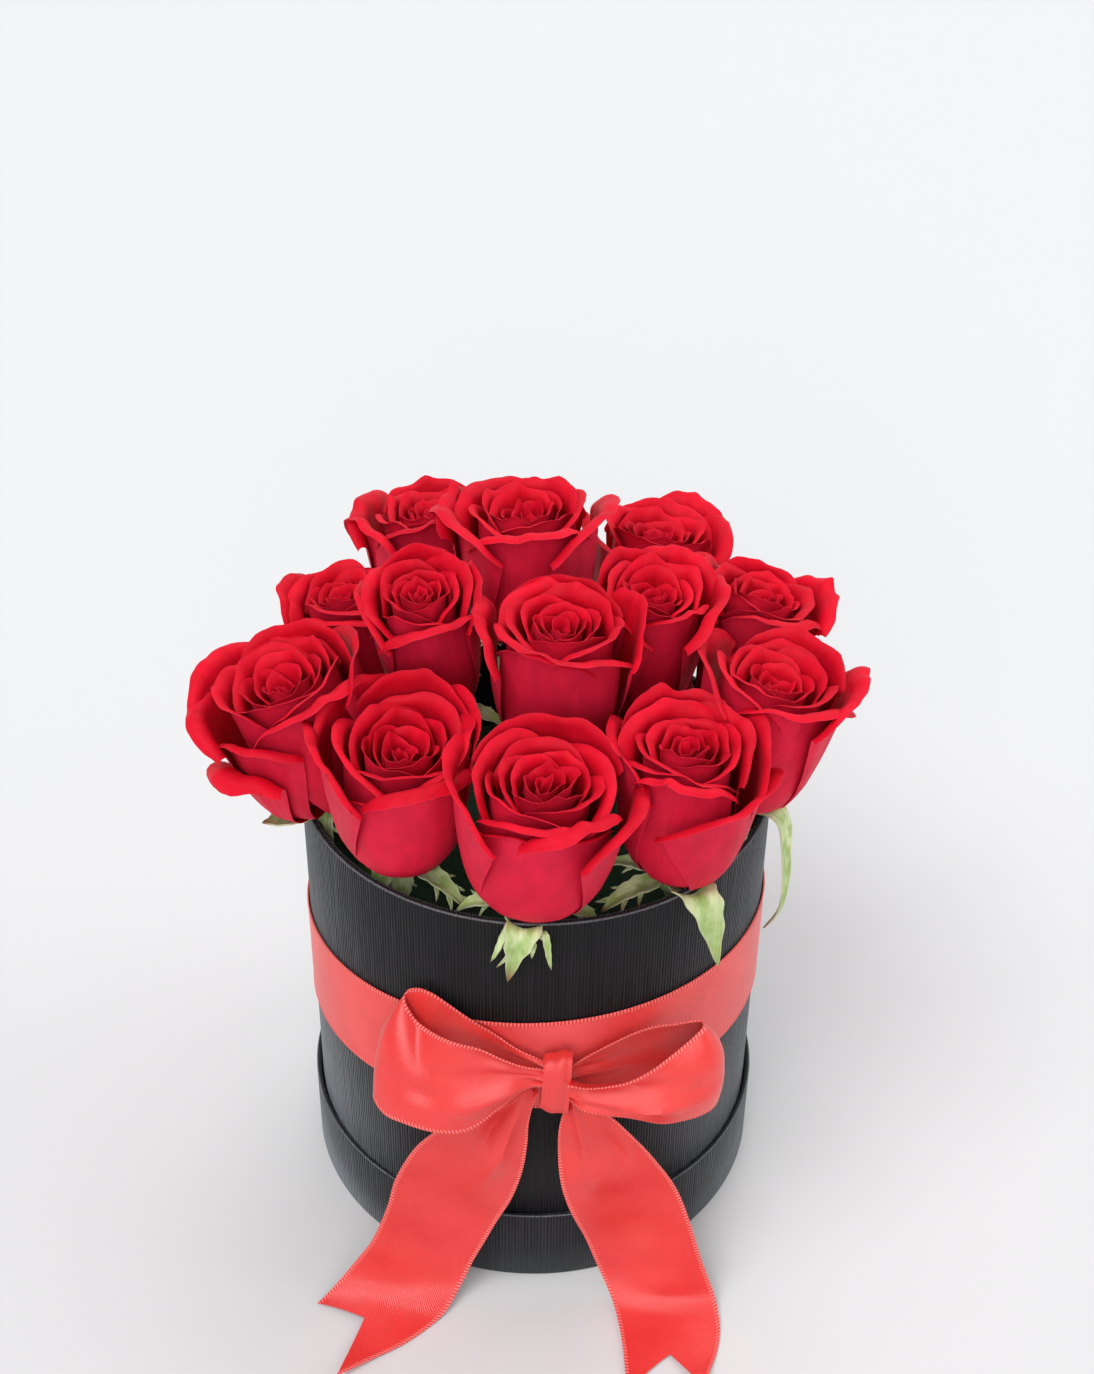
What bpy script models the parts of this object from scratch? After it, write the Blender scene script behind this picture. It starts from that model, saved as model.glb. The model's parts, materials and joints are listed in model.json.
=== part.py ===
"""Round florist's flower box: a paper-covered hat box standing in its upturned lid, a waterproof
liner with wet floral foam, thirteen cut roses pushed into the foam, and a satin ribbon tied in a bow.

Units are metres with +Z up. The origin is the centre of the underside of the lid, on the table, and
-Y is the side with the bow. Sizes below are in millimetres and are multiplied by MM where they are used.
"""
import math
from collections import namedtuple

import bmesh
import bpy
from mathutils import Matrix, Vector

MM = 0.001
GAP = 0.3                   # air left between pieces that touch

# Hat box and lid
BOX_RADIUS = 80.0
BOX_WALL = 2.4
BOX_RIM_Z = 164.6
LID_RADIUS = 82.4
LID_WALL = 1.6
LID_HEIGHT = 31.4
LID_PANEL = 2.0
BOX_FLOOR = 2.0
EDGE_ROUND = 0.5            # rounding on the cut edge of a board wall
ROUND_SIDES = 72            # flats around each large round piece

# Liner and foam
LINER_WALL = 1.2
LINER_DROP = 3.0            # how far the liner's edge sits below the box rim
FOAM_TOP_Z = 128.0
FOAM_SIDES = 48
STEM_TIP_Z = 70.0
STEM_RADIUS = 2.5
STEM_SIDES = 8
HOLE_RADIUS = 3.1
HOLE_EXTRA = 1.0            # how far a stem hole runs past the stem's tip

# Roses
BLOOM_HEIGHT = 52.0
BLOOM_SIDES = 18
CALYX_LENGTH = 11.0
CALYX_SIDES = 10

# Ribbon
RIBBON_WIDTH = 38.8
RIBBON_THICK = 0.5
FOLDED_THICK = 0.8          # a gathered layer of the bow is thicker than one flat layer
BAND_RADIUS = BOX_RADIUS + GAP
BAND_CENTRE_Z = 98.0
BAND_RISE_FRONT = 5.5       # the band is tied a little higher at the front
BAND_RISE_RIGHT = 4.0       # and a little higher on the right
KNOT_CENTRE = (7.9, -87.6, 104.0)
KNOT_SIZE = (9.6, 6.2, 24.0)
KNOT_ROUND = 1.6
TAIL_HINGE = (7.9, -86.8, 97.0)
NOTCH_DEPTH = 12.0          # depth of the V cut in each ribbon tail

# Where each rose stands: the foot is the bottom centre of its bloom, it leans away from upright by
# "lean" degrees towards the compass angle "heading" (0 is +X, 90 is +Y), and radius is its widest.
Rose = namedtuple("Rose", "name foot lean heading radius")
ROSES = [
    Rose("front", (-1, -63, 162), 9.6, -60, 24.2),
    Rose("front_left", (-43, -42, 162), 9.0, -76, 21.7),
    Rose("front_right", (45, -49, 162), 3.5, -72, 19.9),
    Rose("left", (-67, -21, 167), 17.0, -169, 22.7),
    Rose("right", (68, -19, 167), 10.1, -6, 23.2),
    Rose("left_rear", (-59, 22, 170), 7.9, -172, 19.1),
    Rose("right_rear", (64, 24, 170), 13.0, 5, 20.5),
    Rose("rear_left", (-36, 62, 174), 9.5, 111, 22.2),
    Rose("rear_right", (36, 57, 171), 8.7, 50, 24.6),
    Rose("top_rear", (-4, 38, 192), 2.5, 117, 24.2),
    Rose("inner_left", (-33, 4, 187), 12.1, -117, 19.1),
    Rose("centre", (6, -14, 185), 6.6, -72, 21.0),
    Rose("inner_right", (34, 10, 181), 6.3, -45, 17.5),
]

# Outline of a bloom from its base to its rim, then down into the open middle: shares of the radius
# and of the height.
BLOOM_OUTLINE = [
    (0.30, 0.00), (0.46, 0.06), (0.72, 0.20), (0.87, 0.50), (0.97, 0.85), (1.00, 0.97),
    (0.92, 1.00), (0.66, 0.93), (0.34, 0.89),
]
BLOOM_MIDDLE = 0.92
# Outline of a calyx below the bloom, in millimetres: radius and distance below the bloom's base.
CALYX_OUTLINE = [(2.9, -CALYX_LENGTH), (4.9, -8.4), (5.6, -5.6), (5.0, -3.0), (6.4, -GAP)]

# A station is a place on a ribbon's centre line, the direction across the ribbon, and its width.
Station = namedtuple("Station", "centre across width")
LOOP_LEFT = [
    Station((0.6, -89.8, 104), (0, 0, 1), 13),
    Station((-8, -94, 107), (0, 0.10, 1), 22),
    Station((-22, -96.5, 110), (0, 0.20, 1), 33),
    Station((-38, -91.5, 109), (0, 0.30, 1), 38),
    Station((-50, -83.5, 107), (0.15, 0.35, 1), RIBBON_WIDTH),
    Station((-43, -79.5, 109), (0, 0.05, 1), 38),
    Station((-28, -82.5, 111), (0, 0, 1), 32),
    Station((-12, -86, 108), (0, 0, 1), 22),
    Station((0.6, -87.4, 105), (0, 0, 1), 13),
]
LOOP_RIGHT = [
    Station((15.2, -89.8, 104), (0, 0, 1), 13),
    Station((24, -94, 104.5), (0, -0.05, 1), 21),
    Station((38, -95, 105), (0, -0.15, 1), 32),
    Station((51, -92.5, 107), (0.05, -0.15, 1), 38),
    Station((61, -87, 108), (-0.10, 0.05, 1), RIBBON_WIDTH),
    Station((51, -83.6, 108), (0, 0, 1), 38),
    Station((37, -84.2, 108), (0, 0, 1), 31),
    Station((24, -86, 106), (0, 0, 1), 21),
    Station((15.2, -87.4, 105), (0, 0, 1), 13),
]
TAIL_LEFT = [
    Station((2.4, -86.4, 92), (-0.9, 0, 0.4), 11),
    Station((-10, -87.4, 84), (-0.9, 0, 0.4), 24),
    Station((-21, -88.4, 68), (-0.94, 0, 0.33), 34),
    Station((-30, -88.6, 42), (-0.94, 0, 0.33), 37),
    Station((-40, -89.6, 17), (-0.94, 0.1, 0.33), 37.5),
    Station((-46.5, -95.5, 4.4), (-0.82, 0.55, 0.04), 38),
    Station((-66, -117, 0.9), (-0.76, 0.65, 0), 38),
]
TAIL_RIGHT = [
    Station((13.4, -86.4, 92), (-0.95, 0, -0.2), 11),
    Station((20, -87.4, 82), (-0.95, 0, -0.25), 22),
    Station((26, -88.4, 66), (-0.95, 0, -0.30), 32),
    Station((33.5, -88.6, 42), (-0.95, 0, -0.30), 37),
    Station((43, -89.6, 16), (-0.95, 0, -0.25), 37.5),
    Station((47.5, -97, 3.0), (-1, 0, -0.05), 37),
    Station((48, -127, 0.9), (-1, 0, 0), 36),
]
LOOP_STEPS = 4              # sections between two stations
TAIL_STEPS = 3


def clear_scene():
    for item in list(bpy.data.objects):
        bpy.data.objects.remove(item, do_unlink=True)


def make_material(name, colour, roughness, metallic=0.0):
    material = bpy.data.materials.new(name)
    material.use_nodes = True
    shader = material.node_tree.nodes["Principled BSDF"]
    shader.inputs["Base Color"].default_value = (*colour, 1.0)
    shader.inputs["Roughness"].default_value = roughness
    shader.inputs["Metallic"].default_value = metallic
    return material


def make_object(name, mesh_builder, material, parent=None):
    """Turn a bmesh into a named object with outward faces and smooth round sides."""
    bmesh.ops.recalc_face_normals(mesh_builder, faces=mesh_builder.faces)
    mesh = bpy.data.meshes.new(name)
    mesh_builder.to_mesh(mesh)
    mesh_builder.free()
    mesh.materials.append(material)
    mesh.shade_smooth()
    mesh.set_sharp_from_angle(angle=math.radians(40))
    item = bpy.data.objects.new(name, mesh)
    bpy.context.scene.collection.objects.link(item)
    item.parent = parent
    return item


def make_empty(name, location):
    """An empty on a joint's axis, which its pieces are parented to."""
    empty = bpy.data.objects.new(name, None)
    empty.empty_display_size = 0.02
    empty.location = Vector(location) * MM
    bpy.context.scene.collection.objects.link(empty)
    return empty


def ring_of(mesh_builder, radius, height, sides):
    """One circle of points at this radius and height, in millimetres."""
    points = []
    for index in range(sides):
        angle = 2 * math.pi * index / sides
        place = Vector((radius * math.cos(angle), radius * math.sin(angle), height)) * MM
        points.append(mesh_builder.verts.new(place))
    return points


def join_rings(mesh_builder, lower, upper):
    for index in range(len(lower)):
        after = (index + 1) % len(lower)
        mesh_builder.faces.new((lower[index], lower[after], upper[after], upper[index]))


def turned_tube(outline, sides):
    """A ring-shaped solid: the outline is a closed loop of (radius, height)."""
    mesh_builder = bmesh.new()
    rings = [ring_of(mesh_builder, radius, height, sides) for radius, height in outline]
    for index, ring in enumerate(rings):
        join_rings(mesh_builder, ring, rings[(index + 1) % len(rings)])
    return mesh_builder


def turned_solid(outline, sides, last_pole=None):
    """A solid of revolution. The outline runs from bottom to top, its first ring is filled flat, and
    its last ring is filled flat or, with last_pole, closed to a point at that height."""
    mesh_builder = bmesh.new()
    rings = [ring_of(mesh_builder, radius, height, sides) for radius, height in outline]
    for lower, upper in zip(rings, rings[1:]):
        join_rings(mesh_builder, lower, upper)
    mesh_builder.faces.new(rings[0])
    if last_pole is None:
        mesh_builder.faces.new(rings[-1])
    else:
        pole = mesh_builder.verts.new((0, 0, last_pole * MM))
        for index in range(sides):
            mesh_builder.faces.new((rings[-1][index], rings[-1][(index + 1) % sides], pole))
    return mesh_builder


def board_wall(outer, thickness, bottom, top):
    """Outline of an upright board tube whose top edge is rounded on both sides."""
    inner = outer - thickness
    return [
        (outer, bottom),
        (outer, top - EDGE_ROUND),
        (outer - EDGE_ROUND, top),
        (inner + EDGE_ROUND, top),
        (inner, top - EDGE_ROUND),
        (inner, bottom),
    ]


def make_lid(board, board_inside):
    """The lid, open side up: a round panel glued inside a rim."""
    make_object("lid_rim", turned_tube(board_wall(LID_RADIUS, LID_WALL, 0, LID_HEIGHT), ROUND_SIDES), board)
    panel_radius = LID_RADIUS - LID_WALL - GAP
    make_object("lid_panel", turned_solid([(panel_radius, 0), (panel_radius, LID_PANEL)], ROUND_SIDES),
                board_inside)


def make_box(board, board_inside):
    """The box: a tall wall with a floor disc glued in, standing on the lid's panel."""
    bottom = LID_PANEL + GAP
    wall = board_wall(BOX_RADIUS, BOX_WALL, bottom, BOX_RIM_Z)
    empty = make_empty("box_lift_axis", (0, 0, bottom))
    parts = [
        make_object("box_wall", turned_tube(wall, ROUND_SIDES), board),
        make_object("box_floor", turned_solid([
            (BOX_RADIUS - BOX_WALL - GAP, bottom),
            (BOX_RADIUS - BOX_WALL - GAP, bottom + BOX_FLOOR),
        ], ROUND_SIDES), board_inside),
    ]
    for part in parts:
        attach(part, empty)
    return empty


def attach(item, parent):
    """Parent an object that was made in world coordinates without moving it."""
    item.parent = parent
    item.matrix_parent_inverse = Matrix.Translation(-parent.location)


def liner_floor_z():
    return LID_PANEL + GAP + BOX_FLOOR + GAP


def make_liner(plastic):
    """A waterproof cup that lines the box."""
    outer = BOX_RADIUS - BOX_WALL - GAP
    inner = outer - LINER_WALL
    bottom = liner_floor_z()
    outline = [
        (outer, bottom),
        (outer, BOX_RIM_Z - LINER_DROP),
        (inner, BOX_RIM_Z - LINER_DROP),
        (inner, bottom + LINER_WALL),
    ]
    return make_object("waterproof_liner", turned_solid(outline, ROUND_SIDES), plastic)


def lean_matrix(rose):
    """Rotation that turns upright +Z into the rose's own stem axis."""
    heading = Matrix.Rotation(math.radians(rose.heading), 3, "Z")
    tilt = Matrix.Rotation(math.radians(rose.lean), 3, "Y")
    return heading @ tilt @ heading.inverted()


def stem_length(rose):
    """Distance from the bloom's base down the stem axis to the stem's tip."""
    return (rose.foot[2] - STEM_TIP_Z) / math.cos(math.radians(rose.lean))


def make_foam(foam_material):
    """A cylinder of wet foam with one blind hole for each stem."""
    inner = BOX_RADIUS - BOX_WALL - GAP - LINER_WALL
    bottom = liner_floor_z() + LINER_WALL + GAP
    outline = [(inner - GAP, bottom), (inner - GAP, FOAM_TOP_Z)]
    foam = make_object("floral_foam", turned_solid(outline, FOAM_SIDES), foam_material)
    cutter_builder = bmesh.new()
    for rose in ROSES:
        depth = stem_length(rose) + HOLE_EXTRA
        place = Matrix.Translation(Vector(rose.foot) * MM) @ lean_matrix(rose).to_4x4()
        bmesh.ops.create_cone(
            cutter_builder, cap_ends=True, segments=STEM_SIDES, radius1=HOLE_RADIUS * MM,
            radius2=HOLE_RADIUS * MM, depth=depth * MM,
            matrix=place @ Matrix.Translation((0, 0, -depth / 2 * MM)),
        )
    cutter = make_object("stem_hole_cutter", cutter_builder, foam_material)
    cutter.hide_render = True
    cutter.display_type = "WIRE"
    cut = foam.modifiers.new("stem holes", "BOOLEAN")
    cut.operation = "DIFFERENCE"
    cut.solver = "EXACT"
    cut.object = cutter
    return foam


def make_rose(rose, petal, green, stem_green):
    """Bloom, calyx and stem on one empty whose +Z is the stem's axis."""
    empty = make_empty("rose_axis_" + rose.name, rose.foot)
    empty.rotation_euler = lean_matrix(rose).to_euler()
    outline = [(share * rose.radius, height * BLOOM_HEIGHT) for share, height in BLOOM_OUTLINE]
    bloom = turned_solid(outline, BLOOM_SIDES, last_pole=BLOOM_MIDDLE * BLOOM_HEIGHT)
    make_object("bloom_" + rose.name, bloom, petal, empty)
    make_object("calyx_" + rose.name, turned_solid(CALYX_OUTLINE, CALYX_SIDES), green, empty)
    stem = [(STEM_RADIUS, -stem_length(rose)), (STEM_RADIUS, -CALYX_LENGTH - GAP)]
    make_object("stem_" + rose.name, turned_solid(stem, STEM_SIDES), stem_green, empty)
    return empty


def make_band(satin, parent):
    """The ribbon's flat turn around the box, tied a little askew."""
    inner = BAND_RADIUS
    outer = BAND_RADIUS + RIBBON_THICK
    half = RIBBON_WIDTH / 2
    mesh_builder = turned_tube([(inner, -half), (outer, -half), (outer, half), (inner, half)], ROUND_SIDES)
    for point in mesh_builder.verts:
        front = -point.co.y / (BOX_RADIUS * MM)
        right = point.co.x / (BOX_RADIUS * MM)
        point.co.z += (BAND_CENTRE_Z + front * BAND_RISE_FRONT + right * BAND_RISE_RIGHT) * MM
    attach(make_object("ribbon_band", mesh_builder, satin), parent)


def smooth_between(before, start, end, after, share):
    """Catmull-Rom curve between start and end."""
    return 0.5 * (
        2 * start + (end - before) * share
        + (2 * before - 5 * start + 4 * end - after) * share ** 2
        + (3 * start - before - 3 * end + after) * share ** 3
    )


def ribbon_sections(stations, steps):
    """Evenly stepped (centre, across, width) along a smooth curve through the stations."""
    centres = [Vector(station.centre) for station in stations]
    sections = []
    last = len(stations) - 1
    for index in range(last):
        before = centres[max(index - 1, 0)]
        after = centres[min(index + 2, last)]
        for step in range(steps):
            share = step / steps
            centre = smooth_between(before, centres[index], centres[index + 1], after, share)
            across = Vector(stations[index].across).lerp(Vector(stations[index + 1].across), share)
            width = stations[index].width + (stations[index + 1].width - stations[index].width) * share
            sections.append((centre, across.normalized(), width))
    end = stations[-1]
    sections.append((centres[-1], Vector(end.across).normalized(), end.width))
    return sections


def make_strip(name, stations, steps, thickness, satin, notch=0.0):
    """A ribbon of the given thickness along its stations. A notch cuts a V into the last end: the
    middle of each section of the last span is drawn back, a little more each time."""
    sections = ribbon_sections(stations, steps)
    mesh_builder = bmesh.new()
    rows = []
    last = len(sections) - 1
    for index, (centre, across, width) in enumerate(sections):
        ahead = sections[min(index + 1, last)][0] - sections[max(index - 1, 0)][0]
        ahead.normalize()
        across = (across - ahead * across.dot(ahead)).normalized()
        lift = ahead.cross(across) * thickness / 2
        cut = ahead * (-notch * max(0.0, 1 - (last - index) / steps))
        side = across * width / 2
        row = [centre - side, centre + cut, centre + side]
        rows.append([mesh_builder.verts.new((point + lift) * MM) for point in row]
                    + [mesh_builder.verts.new((point - lift) * MM) for point in reversed(row)])
    for lower, upper in zip(rows, rows[1:]):
        join_rings(mesh_builder, lower, upper)
    for row in (rows[0], rows[-1]):
        mesh_builder.faces.new((row[0], row[1], row[4], row[5]))
        mesh_builder.faces.new((row[1], row[2], row[3], row[4]))
    return make_object(name, mesh_builder, satin)


def make_knot(satin, parent):
    """The short wrap of ribbon that holds the bow together."""
    mesh_builder = bmesh.new()
    size = Matrix.Diagonal(Vector(KNOT_SIZE) * MM).to_4x4()
    place = Matrix.Translation(Vector(KNOT_CENTRE) * MM)
    bmesh.ops.create_cube(mesh_builder, size=1.0, matrix=place @ size)
    upright = [edge for edge in mesh_builder.edges
               if abs(edge.verts[0].co.z - edge.verts[1].co.z) > MM]
    bmesh.ops.bevel(mesh_builder, geom=upright, offset=KNOT_ROUND * MM, segments=3, affect="EDGES",
                    profile=0.5)
    attach(make_object("bow_knot", mesh_builder, satin), parent)


def make_bow(satin, box_empty):
    make_knot(satin, box_empty)
    for name, stations in (("bow_loop_left", LOOP_LEFT), ("bow_loop_right", LOOP_RIGHT)):
        attach(make_strip(name, stations, LOOP_STEPS, FOLDED_THICK, satin), box_empty)
    for name, stations in (("bow_tail_left", TAIL_LEFT), ("bow_tail_right", TAIL_RIGHT)):
        hinge = make_empty(name + "_hinge", TAIL_HINGE)
        attach(hinge, box_empty)
        tail = make_strip(name, stations, TAIL_STEPS, RIBBON_THICK, satin, NOTCH_DEPTH)
        tail.parent = hinge
        tail.matrix_parent_inverse = Matrix.Translation(-Vector(TAIL_HINGE) * MM)


def build():
    clear_scene()
    board = make_material("black_ribbed_paper", (0.022, 0.023, 0.026), 0.55)
    board_inside = make_material("black_board", (0.016, 0.016, 0.018), 0.8)
    plastic = make_material("black_liner_film", (0.010, 0.010, 0.011), 0.22)
    foam_material = make_material("wet_floral_foam", (0.045, 0.13, 0.055), 0.95)
    petal = make_material("red_petal", (0.62, 0.012, 0.028), 0.5)
    green = make_material("pale_green_sepal", (0.42, 0.52, 0.24), 0.55)
    stem_green = make_material("green_stem", (0.10, 0.22, 0.05), 0.5)
    satin = make_material("coral_satin", (0.86, 0.075, 0.065), 0.35)

    make_lid(board, board_inside)
    box_empty = make_box(board, board_inside)
    insert_empty = make_empty("insert_lift_axis", (0, 0, liner_floor_z()))
    attach(insert_empty, box_empty)
    for part in (make_liner(plastic), make_foam(foam_material)):
        part.parent = insert_empty
        part.matrix_parent_inverse = Matrix.Translation((0, 0, -liner_floor_z() * MM))
    for rose in ROSES:
        rose_empty = make_rose(rose, petal, green, stem_green)
        rose_empty.parent = insert_empty
        rose_empty.matrix_parent_inverse = Matrix.Translation((0, 0, -liner_floor_z() * MM))
    make_band(satin, box_empty)
    make_bow(satin, box_empty)


build()
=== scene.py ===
"""Looks for the flower box: a round hat box in its upturned lid, filled with roses and tied with a
satin bow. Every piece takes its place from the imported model. Lengths are in millimetres until they
are turned into metres with MM, +Z is up, and -Y is the side with the bow.
"""

import json
import math

import bpy
import numpy as np
from mathutils import Matrix, Vector


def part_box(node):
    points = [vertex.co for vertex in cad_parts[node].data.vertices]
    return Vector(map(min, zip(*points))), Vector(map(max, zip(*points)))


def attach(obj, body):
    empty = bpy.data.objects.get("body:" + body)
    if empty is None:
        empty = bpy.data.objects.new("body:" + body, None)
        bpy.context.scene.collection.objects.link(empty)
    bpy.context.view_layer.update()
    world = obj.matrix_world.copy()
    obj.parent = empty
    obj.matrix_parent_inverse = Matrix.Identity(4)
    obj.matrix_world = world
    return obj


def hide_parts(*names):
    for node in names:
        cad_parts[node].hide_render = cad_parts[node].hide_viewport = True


MM = 0.001
GOLDEN_TURN = 137.508       # degrees between one petal and the next
SHARP_ANGLE = 50            # degrees: faces that meet at more than this keep a sharp edge
WELD = 0.00001              # metres: points closer than this are joined at a pole

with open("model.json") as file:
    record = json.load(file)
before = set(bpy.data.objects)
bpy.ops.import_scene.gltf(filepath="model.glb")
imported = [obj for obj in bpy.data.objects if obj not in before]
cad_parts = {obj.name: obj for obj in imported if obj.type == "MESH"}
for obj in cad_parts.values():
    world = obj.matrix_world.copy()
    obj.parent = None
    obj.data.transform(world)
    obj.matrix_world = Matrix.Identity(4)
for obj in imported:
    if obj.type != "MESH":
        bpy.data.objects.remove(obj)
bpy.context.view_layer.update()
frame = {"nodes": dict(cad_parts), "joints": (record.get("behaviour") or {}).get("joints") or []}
joints = {joint["name"]: joint for joint in frame["joints"]}


# ---- small maths helpers

def smoothstep(low, high, value):
    share = np.clip((value - low) / (high - low), 0.0, 1.0)
    return share * share * (3 - 2 * share)


def curve_through(xs, ys, at):
    """Smooth curve through the points (xs, ys), read at the values in at."""
    xs = np.asarray(xs, float)
    ys = np.asarray(ys, float)
    slope = np.gradient(ys, xs)
    at = np.clip(np.asarray(at, float), xs[0], xs[-1])
    index = np.clip(np.searchsorted(xs, at) - 1, 0, len(xs) - 2)
    span = xs[index + 1] - xs[index]
    t = (at - xs[index]) / span
    return (
        ys[index] * (2 * t ** 3 - 3 * t ** 2 + 1)
        + ys[index + 1] * (3 * t ** 2 - 2 * t ** 3)
        + slope[index] * span * (t ** 3 - 2 * t ** 2 + t)
        + slope[index + 1] * span * (t ** 3 - t ** 2)
    )


def unit(vectors):
    return vectors / np.maximum(np.linalg.norm(vectors, axis=-1, keepdims=True), 1e-9)


def mix(first, second, share):
    return first + (second - first) * share


def path_through(knots, points, at):
    """Smooth path through the points, one for each knot, read at the values in at."""
    return np.stack([curve_through(knots, column, at) for column in np.transpose(points)], -1)


def distance_along(points):
    """Distance of each row of points from the first row."""
    steps = np.linalg.norm(np.diff(points, axis=0), axis=-1)
    return np.concatenate([np.zeros_like(steps[:1]), np.cumsum(steps, axis=0)])


def layers(*parts):
    """Spread the parts to one shape and stack them along a new last axis."""
    return np.stack(np.broadcast_arrays(*parts), -1)


# ---- meshes from sheets

class Sheets:
    """Collects closed thin sheets and turned solids, with two vector attributes on each point."""

    def __init__(self):
        self.points = []
        self.faces = []
        self.skin = []
        self.tone = []
        self.count = 0

    def add(self, points, faces, skin, tone):
        for values, kept in ((points, self.points), (skin, self.skin), (tone, self.tone)):
            kept.append(values.reshape(-1, 3))
        self.faces.append(faces + self.count)
        self.count += len(self.points[-1])

    def add_sheet(self, middle, thickness, along, across, tone):
        """A closed sheet around a grid of middle points. skin is (across, along, side), where side
        is 0 on the face that the grid's normal points to and 1 on the other."""
        rows, columns = middle.shape[:2]
        offset = rows * columns
        normal = unit(np.cross(np.gradient(middle, axis=0), np.gradient(middle, axis=1)))
        half = np.broadcast_to(np.asarray(thickness, float), (rows, columns))[..., None] / 2
        grid = np.arange(offset).reshape(rows, columns)
        front = np.stack([grid[:-1, :-1], grid[1:, :-1], grid[1:, 1:], grid[:-1, 1:]], -1).reshape(-1, 4)
        border = np.concatenate([grid[:, 0], grid[-1, 1:], grid[-2::-1, -1], grid[0, -2:0:-1]])
        after = np.roll(border, -1)
        rim = np.stack([after, border, border + offset, after + offset], -1)
        points = np.stack([middle + normal * half, middle - normal * half])
        skin = np.stack([layers(across, along, np.full((rows, columns), side)) for side in (0.0, 1.0)])
        tone = np.broadcast_to(tone, points.shape)
        self.add(points, np.concatenate([front, front[:, ::-1] + offset, rim]), skin, tone)

    def add_turned(self, outline, sides, tone=(0, 0, 0)):
        """A closed solid of revolution about +Z. The outline is a closed loop of (radius, height), or
        starts and ends at radius 0. skin is (arc length, distance along the outline, 0), and tone is
        one value for the whole solid or one for each point of the outline."""
        outline = np.asarray(outline, float)
        count = len(outline)
        angle = np.arange(sides) * 2 * math.pi / sides
        radius, height = outline[:, :1], outline[:, 1:]
        points = layers(radius * np.cos(angle), radius * np.sin(angle), height)
        skin = layers(angle * radius.max(), distance_along(outline)[:, None], 0.0)
        closed = radius[0, 0] > 0
        grid = np.arange(count * sides).reshape(count, sides)
        upper = np.roll(grid, -1, axis=0) if closed else grid[1:]
        lower = grid if closed else grid[:-1]
        faces = np.stack([lower, np.roll(lower, -1, 1), np.roll(upper, -1, 1), upper], -1).reshape(-1, 4)
        self.add(points, faces, skin, np.broadcast_to(np.reshape(tone, (-1, 1, 3)), points.shape))

    def build(self, name, material, matrix=None, merge=False):
        """Make the object. matrix takes local millimetres to world metres, and merge joins the points
        at the poles of turned solids."""
        points = np.concatenate(self.points) * MM
        if matrix is not None:
            turn = np.array(matrix)
            points = points @ turn[:3, :3].T + turn[:3, 3]
        mesh = bpy.data.meshes.new(name)
        mesh.from_pydata(points.tolist(), [], np.concatenate(self.faces).tolist())
        for label, values in (("skin", self.skin), ("tone", self.tone)):
            attribute = mesh.attributes.new(label, "FLOAT_VECTOR", "POINT")
            attribute.data.foreach_set("vector", np.concatenate(values).astype(np.float32).ravel())
        mesh.validate()
        mesh.materials.append(material)
        mesh.shade_smooth()
        mesh.set_sharp_from_angle(angle=math.radians(SHARP_ANGLE))
        item = bpy.data.objects.new(name, mesh)
        bpy.context.scene.collection.objects.link(item)
        if merge:
            item.modifiers.new("weld", "WELD").merge_threshold = WELD
        return item


def place(item, body, slot, *nodes):
    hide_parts(*nodes)
    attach(item, body)


# ---- materials

# Colours, as linear red, green and blue.
# The darker inner colour and the darker back colour are painted shade: each petal darkens from its tip down
# into the bloom.
PETAL_SHADED_DEEP, PETAL_BRIGHT, PETAL_CORE = (0.50, 0.0020, 0.012), (0.63, 0.0036, 0.020), (0.56, 0.004, 0.026)
PETAL_BACK, PETAL_BACK_TIP = (0.60, 0.009, 0.036), (0.66, 0.014, 0.052)
# The paler edge colour is a painted highlight along each petal's rim.
PETAL_RIM_HIGHLIGHT, PETAL_NICK = (0.74, 0.035, 0.075), (0.10, 0.004, 0.012)
SEPAL_COLOURS = (0.58, 0.66, 0.36), (0.30, 0.43, 0.12), (0.20, 0.09, 0.03)     # pale, deep, brown
STEM_COLOURS = (0.16, 0.30, 0.07), (0.10, 0.21, 0.04), (0.25, 0.20, 0.08)
LEAF_EDGE = (0.62, 0.62, 0.42)
SATIN_DEEP, SATIN_LIGHT = (0.73, 0.032, 0.028), (0.82, 0.048, 0.042)
SATIN_BACK, SATIN_WORN = (0.66, 0.024, 0.024), (0.85, 0.12, 0.13)
STITCH_DARK, STITCH_PALE = (0.62, 0.028, 0.026), (0.95, 0.17, 0.15)
BOX_PAPER = (0.0018, 0.0016, 0.0018), (0.0120, 0.0110, 0.0125)     # between ribs, on ribs
LID_PAPER = (0.0060, 0.0062, 0.0075), (0.0290, 0.0300, 0.0350)
# A pale bluish line on the paper's top edge: mostly a painted highlight, partly rubbed paper.
PAPER_RUB_AND_HIGHLIGHT = (0.20, 0.21, 0.23)
BOARD_DARK, BOARD_LIGHT = (0.012, 0.012, 0.013), (0.030, 0.030, 0.032)
FILM_DARK, FILM_DUST = (0.006, 0.006, 0.007), (0.022, 0.022, 0.023)
# Both foam greens are darker than real wet foam: painted shade for the foam deep in the box.
FOAM_DARK, FOAM_LIGHT = (0.009, 0.032, 0.014), (0.018, 0.056, 0.024)
RIBS_AROUND = 456.0         # a whole number, so that the ribs have no seam: one every 1.1 mm


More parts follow.
